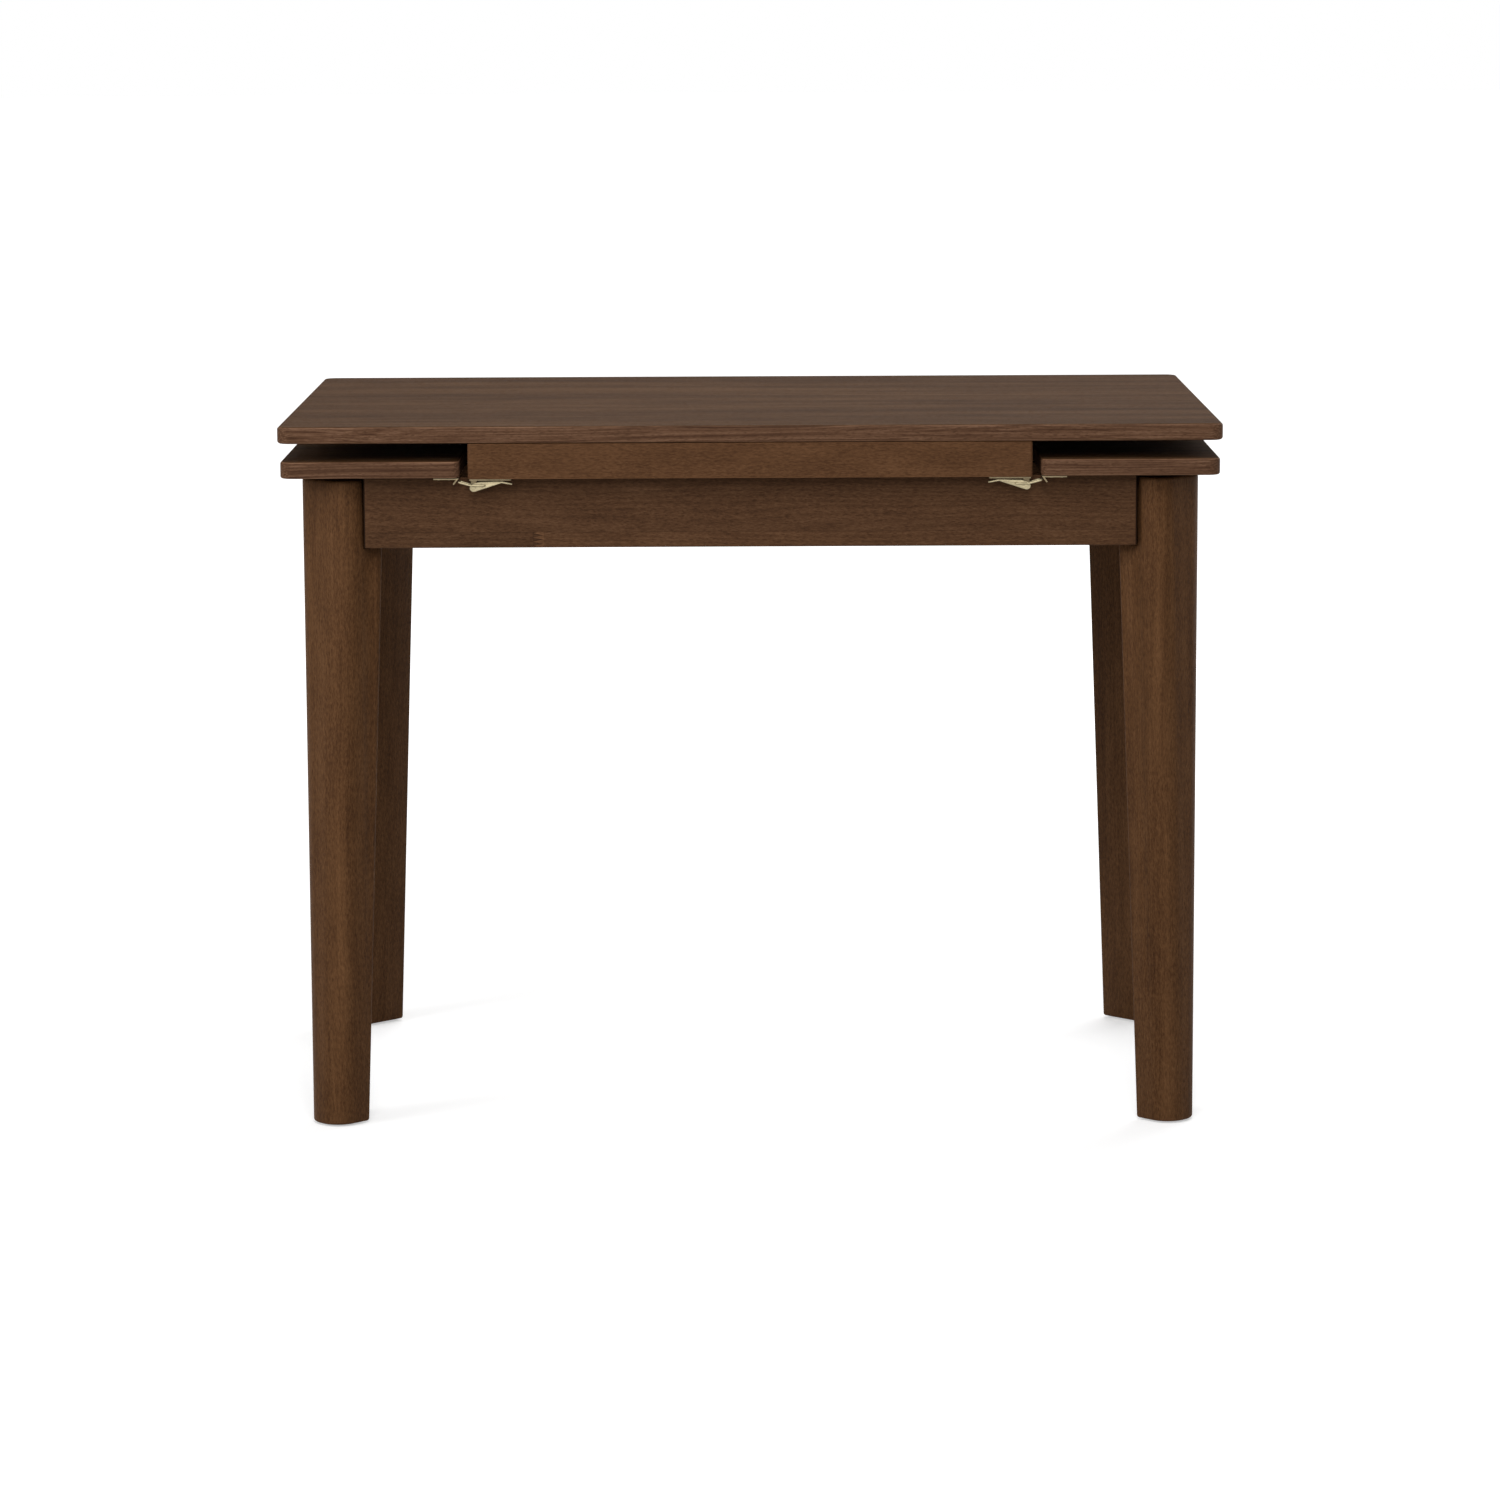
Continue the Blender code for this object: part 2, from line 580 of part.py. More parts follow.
def latch_bail(name, sign, middle):
    """Wire bail: its ends turn in beside the lever, and its bar lies in the keeper's hook."""
    inside = LEVER_WIDTH / 2 + FIT
    half = LEVER_WIDTH / 2 + LEVER_PLAY + WIRE_RADIUS
    pivot = under_board(BAIL_PIVOT)
    bar = (leaf_inner_end + BAIL_BAR[0], leaf_underside - FIT - PLATE_THICKNESS - BAIL_BAR[1])
    route = [(*pivot, -inside), (*pivot, -half), (*bar, -half),
             (*bar, half), (*pivot, half), (*pivot, inside)]
    path = [(sign * distance, middle + shift, height) for distance, height, shift in route]
    wire(name, path, WIRE_RADIUS, brass, (sign * pivot[0], middle, pivot[1]))


def latch_keeper(name, sign, middle):
    """Keeper plate under the leaf, with its inner end folded down and outwards into a hook."""
    top = leaf_underside - FIT
    bottom = top - PLATE_THICKNESS
    inner = leaf_inner_end + KEEPER_FROM_END
    outer = inner + KEEPER_LENGTH
    length = sqrt(HOOK_REACH ** 2 + HOOK_DROP ** 2)
    lean, drop = HOOK_REACH / length, HOOK_DROP / length
    tip = (inner + HOOK_REACH, top - HOOK_DROP)
    outer_tip = (tip[0] + PLATE_THICKNESS * drop, tip[1] + PLATE_THICKNESS * lean)
    fold = (outer_tip[0] - (bottom - outer_tip[1]) * lean / drop, bottom)
    profile = [(outer, top), (inner, top), tip, outer_tip, fold, (outer, bottom)]
    latch_strip(name, profile, sign, middle, LATCH_WIDTH, brass)


for end, side in CORNERS:
    sign, middle = SIDES[side], ENDS[end] * latch_y
    latch_base(f"latch_base_{end}_{side}", sign, middle)
    latch_lever(f"latch_lever_{end}_{side}", sign, middle)
    latch_bail(f"latch_bail_{end}_{side}", sign, middle)
    latch_keeper(f"latch_keeper_{end}_{side}", sign, middle)
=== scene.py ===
"""Looks of the extending dining table: walnut-stained wood with yellow zinc latches."""
import json
from math import cos, pi, radians, sin, sqrt

import bmesh
import bpy
from mathutils import Matrix, Vector

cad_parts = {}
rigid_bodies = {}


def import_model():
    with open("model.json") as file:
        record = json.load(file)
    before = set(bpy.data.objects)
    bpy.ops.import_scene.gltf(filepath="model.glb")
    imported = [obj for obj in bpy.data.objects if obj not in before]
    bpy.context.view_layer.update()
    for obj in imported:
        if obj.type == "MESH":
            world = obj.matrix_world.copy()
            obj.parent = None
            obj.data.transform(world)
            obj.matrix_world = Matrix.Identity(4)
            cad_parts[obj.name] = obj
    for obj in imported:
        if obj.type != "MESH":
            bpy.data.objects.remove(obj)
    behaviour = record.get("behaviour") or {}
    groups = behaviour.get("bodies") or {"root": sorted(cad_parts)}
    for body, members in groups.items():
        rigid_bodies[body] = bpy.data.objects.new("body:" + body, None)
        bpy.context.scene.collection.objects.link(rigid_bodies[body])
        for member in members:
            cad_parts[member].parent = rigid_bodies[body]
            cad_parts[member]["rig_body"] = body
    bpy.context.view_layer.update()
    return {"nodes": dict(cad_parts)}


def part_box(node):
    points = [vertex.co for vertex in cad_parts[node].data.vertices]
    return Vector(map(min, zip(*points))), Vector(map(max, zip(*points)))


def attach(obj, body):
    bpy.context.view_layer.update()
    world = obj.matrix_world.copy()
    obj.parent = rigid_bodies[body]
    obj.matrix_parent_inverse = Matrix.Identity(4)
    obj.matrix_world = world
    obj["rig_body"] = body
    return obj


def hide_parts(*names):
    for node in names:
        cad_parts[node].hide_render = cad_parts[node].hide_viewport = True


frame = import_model()


# Legs
# Four solid hardwood posts set diagonally and tapered towards the foot, with round outer arrises
# and a flat inner face. Each is shaped from one blank, stained walnut, and housed out at the top
# for the ends of two aprons.

SIDES = {"left": -1, "right": 1}
ENDS = {"front": -1, "back": 1}
CORNERS = [(end, side) for end in ENDS for side in SIDES]


def feed(tree, socket, value):
    """Give a node's socket another node's output, or a plain value."""
    if isinstance(value, bpy.types.NodeSocket):
        tree.links.new(value, socket)
    else:
        socket.default_value = value


def maths(tree, operation, *values):
    """One step of arithmetic in a node tree."""
    step = tree.nodes.new("ShaderNodeMath")
    step.operation = operation
    for socket, value in zip(step.inputs, values):
        feed(tree, socket, value)
    return step.outputs[0]


def blended(tree, share, first, second, how="MIX"):
    """Two colours mixed in a material."""
    mix = tree.nodes.new("ShaderNodeMix")
    mix.data_type = "RGBA"
    mix.blend_type = how
    feed(tree, mix.inputs[0], share)
    feed(tree, mix.inputs[6], first)
    feed(tree, mix.inputs[7], second)
    return mix.outputs[2]


def eased_step(tree, value, low, high, start=0.0, end=1.0):
    """A value carried from one range to another with soft ends."""
    step = tree.nodes.new("ShaderNodeMapRange")
    step.interpolation_type = "SMOOTHSTEP"
    for socket, number in zip(step.inputs, (value, low, high, start, end)):
        feed(tree, socket, number)
    return step.outputs[0]


def stretched(tree, source, scale, place=(0.0, 0.0, 0.0), turn=(0.0, 0.0, 0.0)):
    """Coordinates moved, turned and drawn out along the grain."""
    mapping = tree.nodes.new("ShaderNodeMapping")
    tree.links.new(source, mapping.inputs["Vector"])
    mapping.inputs["Location"].default_value = place
    mapping.inputs["Rotation"].default_value = turn
    mapping.inputs["Scale"].default_value = scale
    return mapping.outputs[0]


def speckle(tree, source, along, across, detail, roughness=0.5):
    """Noise with so many marks per metre along and across the grain."""
    noise = tree.nodes.new("ShaderNodeTexNoise")
    tree.links.new(stretched(tree, source, (along, across, across)), noise.inputs["Vector"])
    noise.inputs["Scale"].default_value = 1.0
    noise.inputs["Detail"].default_value = detail
    noise.inputs["Roughness"].default_value = roughness
    return noise.outputs["Fac"]


def bumped(tree, shader, height, strength, distance):
    """Relief of a surface, from a pattern's height."""
    bump = tree.nodes.new("ShaderNodeBump")
    bump.inputs["Strength"].default_value = strength
    bump.inputs["Distance"].default_value = distance
    tree.links.new(height, bump.inputs["Height"])
    tree.links.new(bump.outputs[0], shader.inputs["Normal"])


GRAIN_TURN = {"X": (0.0, 0.0, 0.0), "Y": (0.0, 0.0, -pi / 2), "Z": (0.0, pi / 2, 0.0)}
SEED_STEP = 0.37
SWAY = 0.04
SWAY_SCALE = (1.6, 8.0, 8.0)
RINGS_PER_METRE = 75.0
RING_SCALE = (0.05, 1.0, 1.0)
MOTTLE = 0.5
PATTERN_MEAN = 0.5
DEEP_AT, MIDDLE_AT, PALE_AT = 0.2, 0.5, 0.8
PORE_FROM, PORE_TO = 0.555, 0.64
PORE_STAIN = 0.55
PORE_ROUGHNESS = 0.12
PORE_DEPTH = 0.7
FIBRE_ROUGHNESS = 0.2
FIBRE_HEIGHT = 0.5
# painted shadow line at a board's ends where it meets a leg, also darkening the end grain: its span
# from the end and its shade
END_GRAIN_AND_SHADOW_FROM, END_GRAIN_AND_SHADOW_TO = 0.0019, 0.0011
END_GRAIN_AND_SHADOW_SHADE = 0.4
ARRIS_FROM, ARRIS_TO = 0.98, 0.78
# painted edge highlight, partly stain wear: where along the grain lines it shows, and how much paler
# than the pale stain it is
WEAR_AND_HIGHLIGHT_FROM, WEAR_AND_HIGHLIGHT_TO = 0.3, 0.6
WEAR_AND_HIGHLIGHT_SHADE = 2.5


def edge_wear_and_highlight(tree, normal, line, turned):
    """Where edges are made paler, partly the stain's wear and partly a painted highlight: the arrises
    of a turned leg, or the level edges of a board.
    """
    facing = tree.nodes.new("ShaderNodeSeparateXYZ")
    tree.links.new(normal, facing.inputs[0])
    side_on, end_on, up = facing.outputs
    if turned:
        diagonals = []
        for operation in ("ADD", "SUBTRACT"):
            both = maths(tree, operation, side_on, end_on)
            diagonals.append(maths(tree, "ABSOLUTE", maths(tree, "MULTIPLY", both, sqrt(0.5))))
        flat = maths(tree, "MAXIMUM", *diagonals)
    else:
        steep = maths(tree, "MULTIPLY_ADD", up, maths(tree, "MULTIPLY", up, -1.0), 1.0)
        flat = maths(tree, "SQRT", steep)
    flat = maths(tree, "MAXIMUM", flat, maths(tree, "ABSOLUTE", up))
    on_edge = eased_step(tree, flat, ARRIS_FROM, ARRIS_TO)
    return maths(tree, "MULTIPLY", on_edge, eased_step(tree, line, WEAR_AND_HIGHLIGHT_FROM, WEAR_AND_HIGHLIGHT_TO))


def stained_wood(name, grain, heart, seed, shades, rings=0.1, bands=0.0, lines=0.3, dashes=0.5,
                 fine=1.0, rough=0.62, sheen=0.06, arris=0.0, turned=False, joint=None, ends=None):
    """Stained hardwood, satin lacquered: rings about a heart line, then bands, lines, dashes and
    pores along one axis. Shades are the deep, middle and pale colours of the stain."""
    deep, middle, pale = shades
    look = bpy.data.materials.new(name)
    look.use_nodes = True
    tree = look.node_tree
    shader = tree.nodes["Principled BSDF"]
    shader.inputs["Specular IOR Level"].default_value = sheen
    place = tree.nodes.new("ShaderNodeTexCoord")
    here = place.outputs["Object"]
    spot = tree.nodes.new("ShaderNodeSeparateXYZ")
    tree.links.new(here, spot.inputs[0])
    if joint:
        here, strip_tone = glued_strips(tree, here, spot.outputs[0], spot.outputs[2], *joint)
    along = stretched(tree, here, (1.0, 1.0, 1.0), (seed * SEED_STEP, *heart), GRAIN_TURN[grain])

    sway = tree.nodes.new("ShaderNodeTexNoise")
    tree.links.new(stretched(tree, along, SWAY_SCALE, (seed, 0.0, 0.0)), sway.inputs["Vector"])
    sway.inputs["Scale"].default_value = 1.0
    sway.inputs["Detail"].default_value = 2.0
    wander = tree.nodes.new("ShaderNodeVectorMath")
    wander.operation = "MULTIPLY_ADD"
    tree.links.new(sway.outputs["Color"], wander.inputs[0])
    wander.inputs[1].default_value = (0.0, SWAY, SWAY)
    tree.links.new(along, wander.inputs[2])
    swayed = wander.outputs[0]

    growth = tree.nodes.new("ShaderNodeTexWave")
    growth.wave_type = "RINGS"
    growth.rings_direction = "X"
    tree.links.new(stretched(tree, swayed, RING_SCALE), growth.inputs["Vector"])
    growth.inputs["Scale"].default_value = RINGS_PER_METRE
    growth.inputs["Distortion"].default_value = 5.0
    growth.inputs["Detail"].default_value = 4.0
    growth.inputs["Detail Scale"].default_value = 0.9
    mottle = speckle(tree, swayed, along=14.0, across=44.0, detail=5.0, roughness=0.6)
    band = speckle(tree, swayed, along=1.1, across=24.0, detail=3.0, roughness=0.55)
    line = speckle(tree, swayed, along=2.2, across=330.0 * fine, detail=4.0, roughness=0.6)
    dash = speckle(tree, swayed, along=200.0, across=640.0, detail=4.0, roughness=0.62)
    pore = speckle(tree, swayed, along=170.0, across=1300.0, detail=2.0, roughness=0.4)

    figure = maths(tree, "MULTIPLY", mottle, MOTTLE)
    figure = maths(tree, "MULTIPLY_ADD", growth.outputs["Fac"], rings, figure)
    for pattern, weight in ((band, bands), (line, lines), (dash, dashes)):
        figure = maths(tree, "MULTIPLY_ADD", pattern, weight, figure)
    middling = PATTERN_MEAN * (rings + MOTTLE + bands + lines + dashes)
    ramp = tree.nodes.new("ShaderNodeValToRGB")
    tree.links.new(maths(tree, "ADD", figure, MIDDLE_AT - middling), ramp.inputs[0])
    stops = ramp.color_ramp.elements
    stops[0].position = DEEP_AT
    stops[0].color = (*deep, 1.0)
    stops[1].position = PALE_AT
    stops[1].color = (*pale, 1.0)
    stops.new(MIDDLE_AT).color = (*middle, 1.0)
    open_pore = eased_step(tree, pore, PORE_FROM, PORE_TO)
    stain = maths(tree, "MULTIPLY", open_pore, PORE_STAIN)
    colour = blended(tree, stain, ramp.outputs[0], (*deep, 1.0))
    if joint:
        colour = blended(tree, 1.0, colour, strip_tone, "MULTIPLY")
    # Painted shadow line: the last millimetres at each end are darkened in place of the shade in the
    # joint with the leg; on the end face this reads as darker end grain.
    if ends:
        axis, half = ends
        from_middle = maths(tree, "ABSOLUTE", spot.outputs[axis])
        end_grain_and_shadow = eased_step(tree, from_middle, half - END_GRAIN_AND_SHADOW_FROM, half - END_GRAIN_AND_SHADOW_TO)
        colour = blended(tree, end_grain_and_shadow, colour, (*[END_GRAIN_AND_SHADOW_SHADE * c for c in deep], 1.0))
    # Paler edges: partly wear of the stain, partly a painted highlight along the arrises.
    if arris:
        tint_share = edge_wear_and_highlight(tree, place.outputs["Normal"], line, turned)
        edge_wear_and_highlight_colour = (*[WEAR_AND_HIGHLIGHT_SHADE * c for c in pale], 1.0)
        colour = blended(tree, maths(tree, "MULTIPLY", tint_share, arris), colour, edge_wear_and_highlight_colour)
    tree.links.new(colour, shader.inputs["Base Color"])
    matt = maths(tree, "MULTIPLY_ADD", dash, FIBRE_ROUGHNESS, rough - FIBRE_ROUGHNESS / 2)
    matt = maths(tree, "MULTIPLY_ADD", open_pore, PORE_ROUGHNESS, matt)
    tree.links.new(matt, shader.inputs["Roughness"])
    fibres = maths(tree, "MULTIPLY", dash, FIBRE_HEIGHT)
    height = maths(tree, "MULTIPLY_ADD", open_pore, -PORE_DEPTH, fibres)
    bumped(tree, shader, height, strength=0.25, distance=0.0006)
    return look


def coat(piece, look):
    """Give a whole piece one finish."""
    piece.data.materials.clear()
    piece.data.materials.append(look)


def new_piece(name, mesh, look=None):
    """An object at the origin that holds a mesh, with one finish or none yet."""
    piece = bpy.data.objects.new(name, mesh)
    bpy.context.scene.collection.objects.link(piece)
    if look:
        coat(piece, look)
    return piece


def settle(piece):
    """Turn a piece with its modifiers into a plain mesh."""
    bpy.context.view_layer.update()
    graph = bpy.context.evaluated_depsgraph_get()
    made = piece.evaluated_get(graph)
    mesh = bpy.data.meshes.new_from_object(made, preserve_all_data_layers=True, depsgraph=graph)
    piece.modifiers.clear()
    piece.data = mesh
    mesh.name = piece.name
    return piece


SAME_CORNER = 1e-6
FLAT_BELOW = 0.5


def outward(mesh, flatten=False):
    """Merge doubled corners, point every face outwards, and join flat triangles if asked to."""
    work = bmesh.new()
    work.from_mesh(mesh)
    bmesh.ops.remove_doubles(work, verts=work.verts, dist=SAME_CORNER)
    if flatten:
        bmesh.ops.dissolve_limit(work, angle_limit=radians(FLAT_BELOW), verts=work.verts,
                                 edges=work.edges)
    bmesh.ops.recalc_face_normals(work, faces=work.faces)
    work.to_mesh(mesh)
    work.free()


def ease(piece, width, steps=4, above=35):
    """Round a piece's sharp edges, keep its flats flat, and leave a plain mesh."""
    piece.data.shade_smooth()
    bevel = piece.modifiers.new("ease", "BEVEL")
    bevel.width = width
    bevel.segments = steps
    bevel.limit_method = "ANGLE"
    bevel.angle_limit = radians(above)
    bevel.harden_normals = True
    return settle(piece)


def prism(name, outline, low, high, look):
    """A plan outline carried from one level to another."""
    count = len(outline)
    corners = [(x, y, level) for level in (low, high) for x, y in outline]
    faces = [tuple(range(count)), tuple(range(count, 2 * count))]
    for step in range(count):
        after = (step + 1) % count
        faces.append((step, after, count + after, count + step))
    mesh = bpy.data.meshes.new(name)
    mesh.from_pydata(corners, [], faces)
    outward(mesh)
    return new_piece(name, mesh, look)


def new_tree(name, sizes, source=None):
    """A geometry tree with named sizes and a finish: the tree, its inputs and their identifiers."""
    tree = bpy.data.node_groups.new(name, "GeometryNodeTree")
    made = tree.interface.new_socket
    made("Geometry", in_out="OUTPUT", socket_type="NodeSocketGeometry")
    if source:
        made(source, in_out="INPUT", socket_type="NodeSocketGeometry")
    sockets = {}
    for label, size in sizes.items():
        socket = made(label, in_out="INPUT", socket_type="NodeSocketFloat")
        socket.default_value = size
        sockets[label] = socket.identifier
    finish = made("Finish", in_out="INPUT", socket_type="NodeSocketMaterial")
    sockets["Finish"] = finish.identifier
    return tree, tree.nodes.new("NodeGroupInput").outputs, sockets


def tree_node(tree, kind, **inputs):
    """A node of a geometry tree with its inputs fed by name."""
    node = tree.nodes.new(kind)
    for label, value in inputs.items():
        feed(tree, node.inputs[label.replace("_", " ")], value)
    return node


def end_tree(tree, grown, finish):
    """End a geometry tree with real geometry and its finish."""
    real = tree_node(tree, "GeometryNodeRealizeInstances", Geometry=grown)
    coated = tree_node(tree, "GeometryNodeSetMaterial", Geometry=real.outputs[0], Material=finish)
    feed(tree, tree.nodes.new("NodeGroupOutput").inputs[0], coated.outputs[0])


def grow(piece, tree, sockets, values, look):
    """Let a geometry tree grow a piece, and keep the result as a plain mesh."""
    grown = piece.modifiers.new("grown", "NODES")
    grown.node_group = tree
    for label, value in values.items():
        grown[sockets[label]] = value
    grown[sockets["Finish"]] = look
    settle(piece)
    outward(piece.data)
    coat(piece, look)
    for face in piece.data.polygons:
        face.material_index = 0
    return piece


def lengths(tree, x, y, z):
    """A vector of three lengths in a geometry tree."""
    vector = tree.nodes.new("ShaderNodeCombineXYZ")
    for socket, value in zip(vector.inputs, (x, y, z)):
        feed(tree, socket, value)
    return vector.outputs[0]


LEG_ARC_STEPS = 24
SAME_COUNT = 0.1
leg_sizes = {"Foot Width": 0.0615, "Top Width": 0.0888, "Foot Nose": 0.0280, "Top Nose": 0.0455,
             "Arris Radius": 0.024, "Lean": 0.002, "Foot Level": 0.002, "Top Level": 0.7007,
             "Outer X": 0.4785, "Outer Y": 0.3035, "Side": 1.0, "End": 1.0}
leg_tree, leg_in, leg_sockets = new_tree("tapered_leg", leg_sizes)


def leg_maths(operation, *values):
    """One step of arithmetic in the leg's tree."""
    return maths(leg_tree, operation, *values)


def leg_corner(count, width, nose, lean, level):
    """Place of a corner of the leg's section: the side arris, the front arris, then the inner face."""
    radius = leg_in["Arris Radius"]
    steps = float(LEG_ARC_STEPS)
    on_front = leg_maths("GREATER_THAN", count, steps + 0.5)
    share = leg_maths("DIVIDE", leg_maths("MULTIPLY_ADD", on_front, -steps - 1.0, count), steps)
    angle = leg_maths("MULTIPLY_ADD", leg_maths("ADD", share, on_front), pi / 2, 3 * pi / 4)
    apart = leg_maths("MULTIPLY", on_front, leg_maths("SUBTRACT", nose, radius))
    centre_u = leg_maths("ADD", radius, apart)
    centre_v = leg_maths("SUBTRACT", nose, apart)
    arc_u = leg_maths("MULTIPLY_ADD", radius, leg_maths("COSINE", angle), centre_u)
    arc_v = leg_maths("MULTIPLY_ADD", radius, leg_maths("SINE", angle), centre_v)
    past_nose = leg_maths("SUBTRACT", width, nose)
    near = leg_maths("SUBTRACT", past_nose, leg_maths("MULTIPLY", radius, sqrt(2) - 1))
    first = leg_maths("COMPARE", count, 2 * steps + 2.0, SAME_COUNT)
    second = leg_maths("COMPARE", count, 2 * steps + 3.0, SAME_COUNT)
    on_arc = leg_maths("LESS_THAN", count, 2 * steps + 1.5)
    along_u = leg_maths("MULTIPLY_ADD", first, width, leg_maths("MULTIPLY", second, near))
    along_v = leg_maths("MULTIPLY_ADD", first, near, leg_maths("MULTIPLY", second, width))
    along_u = leg_maths("MULTIPLY_ADD", on_arc, arc_u, along_u)
    along_v = leg_maths("MULTIPLY_ADD", on_arc, arc_v, along_v)
    from_x = leg_maths("SUBTRACT", leg_maths("SUBTRACT", leg_in["Outer X"], lean), along_u)
    from_y = leg_maths("SUBTRACT", leg_maths("SUBTRACT", leg_in["Outer Y"], lean), along_v)
    return lengths(leg_tree, leg_maths("MULTIPLY", leg_in["Side"], from_x),
                   leg_maths("MULTIPLY", leg_in["End"], from_y), level)


section = tree_node(leg_tree, "GeometryNodeMeshCircle", Vertices=2 * LEG_ARC_STEPS + 4)
section.fill_type = "NGON"
count = leg_tree.nodes.new("GeometryNodeInputIndex")
numbered = leg_tree.nodes.new("GeometryNodeStoreNamedAttribute")
numbered.data_type = "FLOAT"
numbered.inputs["Name"].default_value = "corner"
feed(leg_tree, numbered.inputs["Geometry"], section.outputs[0])
feed(leg_tree, numbered.inputs["Value"], count.outputs[0])
corner = tree_node(leg_tree, "GeometryNodeInputNamedAttribute", Name="corner")
corner.data_type = "FLOAT"
foot_place = leg_corner(corner.outputs[0], leg_in["Foot Width"], leg_in["Foot Nose"],
                        leg_in["Lean"], leg_in["Foot Level"])
foot_ring = tree_node(leg_tree, "GeometryNodeSetPosition", Geometry=numbered.outputs[0],
                      Position=foot_place)
walls = tree_node(leg_tree, "GeometryNodeExtrudeMesh", Mesh=foot_ring.outputs[0],
                  Offset_Scale=0.0, Individual=False)
top_place = leg_corner(corner.outputs[0], leg_in["Top Width"], leg_in["Top Nose"],
                       0.0, leg_in["Top Level"])
top_ring = tree_node(leg_tree, "GeometryNodeSetPosition", Geometry=walls.outputs["Mesh"],
                     Selection=walls.outputs["Top"], Position=top_place)
both_ends = leg_tree.nodes.new("GeometryNodeJoinGeometry")
leg_tree.links.new(top_ring.outputs[0], both_ends.inputs[0])
leg_tree.links.new(foot_ring.outputs[0], both_ends.inputs[0])
sealed = tree_node(leg_tree, "GeometryNodeMergeByDistance", Geometry=both_ends.outputs[0],
                   Distance=0.00001)
end_tree(leg_tree, sealed.outputs[0], leg_in["Finish"])

LEG_SHADES = ((0.0344, 0.0138, 0.0049), (0.0745, 0.0329, 0.0124), (0.1108, 0.0525, 0.0216))
LEG_EASE = 0.0032
LEG_EASED_ABOVE = 60
LEG_SHARP_ABOVE = 30
LEG_ARRIS = 0.08
HOUSING_PLAY = 0.0018
REACH = 0.05
leg_hearts = {("front", "left"): (0.36, 0.10), ("front", "right"): (-0.30, 0.16),
              ("back", "left"): (0.22, -0.36), ("back", "right"): (-0.34, -0.24)}


def housing(node, outward_x, outward_y):
    """Outline and levels of the cut for an apron's end, open to the leg's outside and top."""
    low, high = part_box(node)
    low, high = low - Vector((HOUSING_PLAY,) * 3), high + Vector((HOUSING_PLAY,) * 3)
    x0, x1 = low.x, high.x
    y0, y1 = low.y, high.y
    if outward_x:
        x0, x1 = sorted((x0, x1), key=abs)
        x1 += outward_x * REACH
    if outward_y:
        y0, y1 = sorted((y0, y1), key=abs)
        y1 += outward_y * REACH
    return [(x0, y0), (x1, y0), (x1, y1), (x0, y1)], low.z, high.z + REACH


for number, (end, side) in enumerate(CORNERS):
    name = f"leg_{end}_{side}"
    leg_wood = stained_wood(f"{name}_wood", "Z", heart=leg_hearts[end, side], seed=1.7 + number,
                            shades=LEG_SHADES, rings=0.05, bands=0.15, lines=0.45, dashes=1.0,
                            fine=0.3, arris=LEG_ARRIS, turned=True)
    leg = new_piece(f"shaped_{name}", bpy.data.meshes.new(name))
    grow(leg, leg_tree, leg_sockets, {"Side": float(SIDES[side]), "End": float(ENDS[end])}, leg_wood)
    ease(leg, LEG_EASE, above=LEG_EASED_ABOVE)
    for block in (housing(f"apron_{end}", 0, ENDS[end]), housing(f"apron_{side}", SIDES[side], 0)):
        cutter = prism("housing", *block, leg_wood)
        cut = leg.modifiers.new("housing", "BOOLEAN")
        cut.object = cutter
        cut.operation = "DIFFERENCE"
        cut.solver = "EXACT"
        settle(leg)
        bpy.data.objects.remove(cutter)
    leg.data.set_sharp_from_angle(angle=radians(LEG_SHARP_ABOVE))
    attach(leg, "frame")
    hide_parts(name)


# Aprons
# Four rails between the legs, of strips glued edge to edge and finger-jointed end to end,
# stained walnut. Their ends are rounded where they meet the legs, and the side ones are notched
# for the runners.

APRON_SHADES = ((0.0304, 0.0129, 0.0055), (0.0641, 0.0297, 0.0133), (0.0978, 0.0484, 0.0238))
APRON_ROUND = 0.0026
APRON_EASE = 0.0013
SIDE_APRON_EASE = 0.0006
BOARD_ARRIS = 0.12
APRON_FIGURE = {"rings": 0.10, "bands": 0.1, "lines": 0.1, "dashes": 0.8, "arris": BOARD_ARRIS}
STRIP_HEIGHT = 0.0165
STRIP_SHIFT = (0.73, 0.11, 0.19)
LOWER_STRIP_TONE, LAST_STRIP_TONE = -0.07, 0.17
FINGER_PLACE = 0.2255
FINGER_LENGTH = 0.0115
FINGER_PITCH = 0.0046
FINGER_TONES = (-0.26, 0.62)
GLUE_LINE = 0.0004
GLUE_TONE = -0.2
PLAN_STEPS = 10


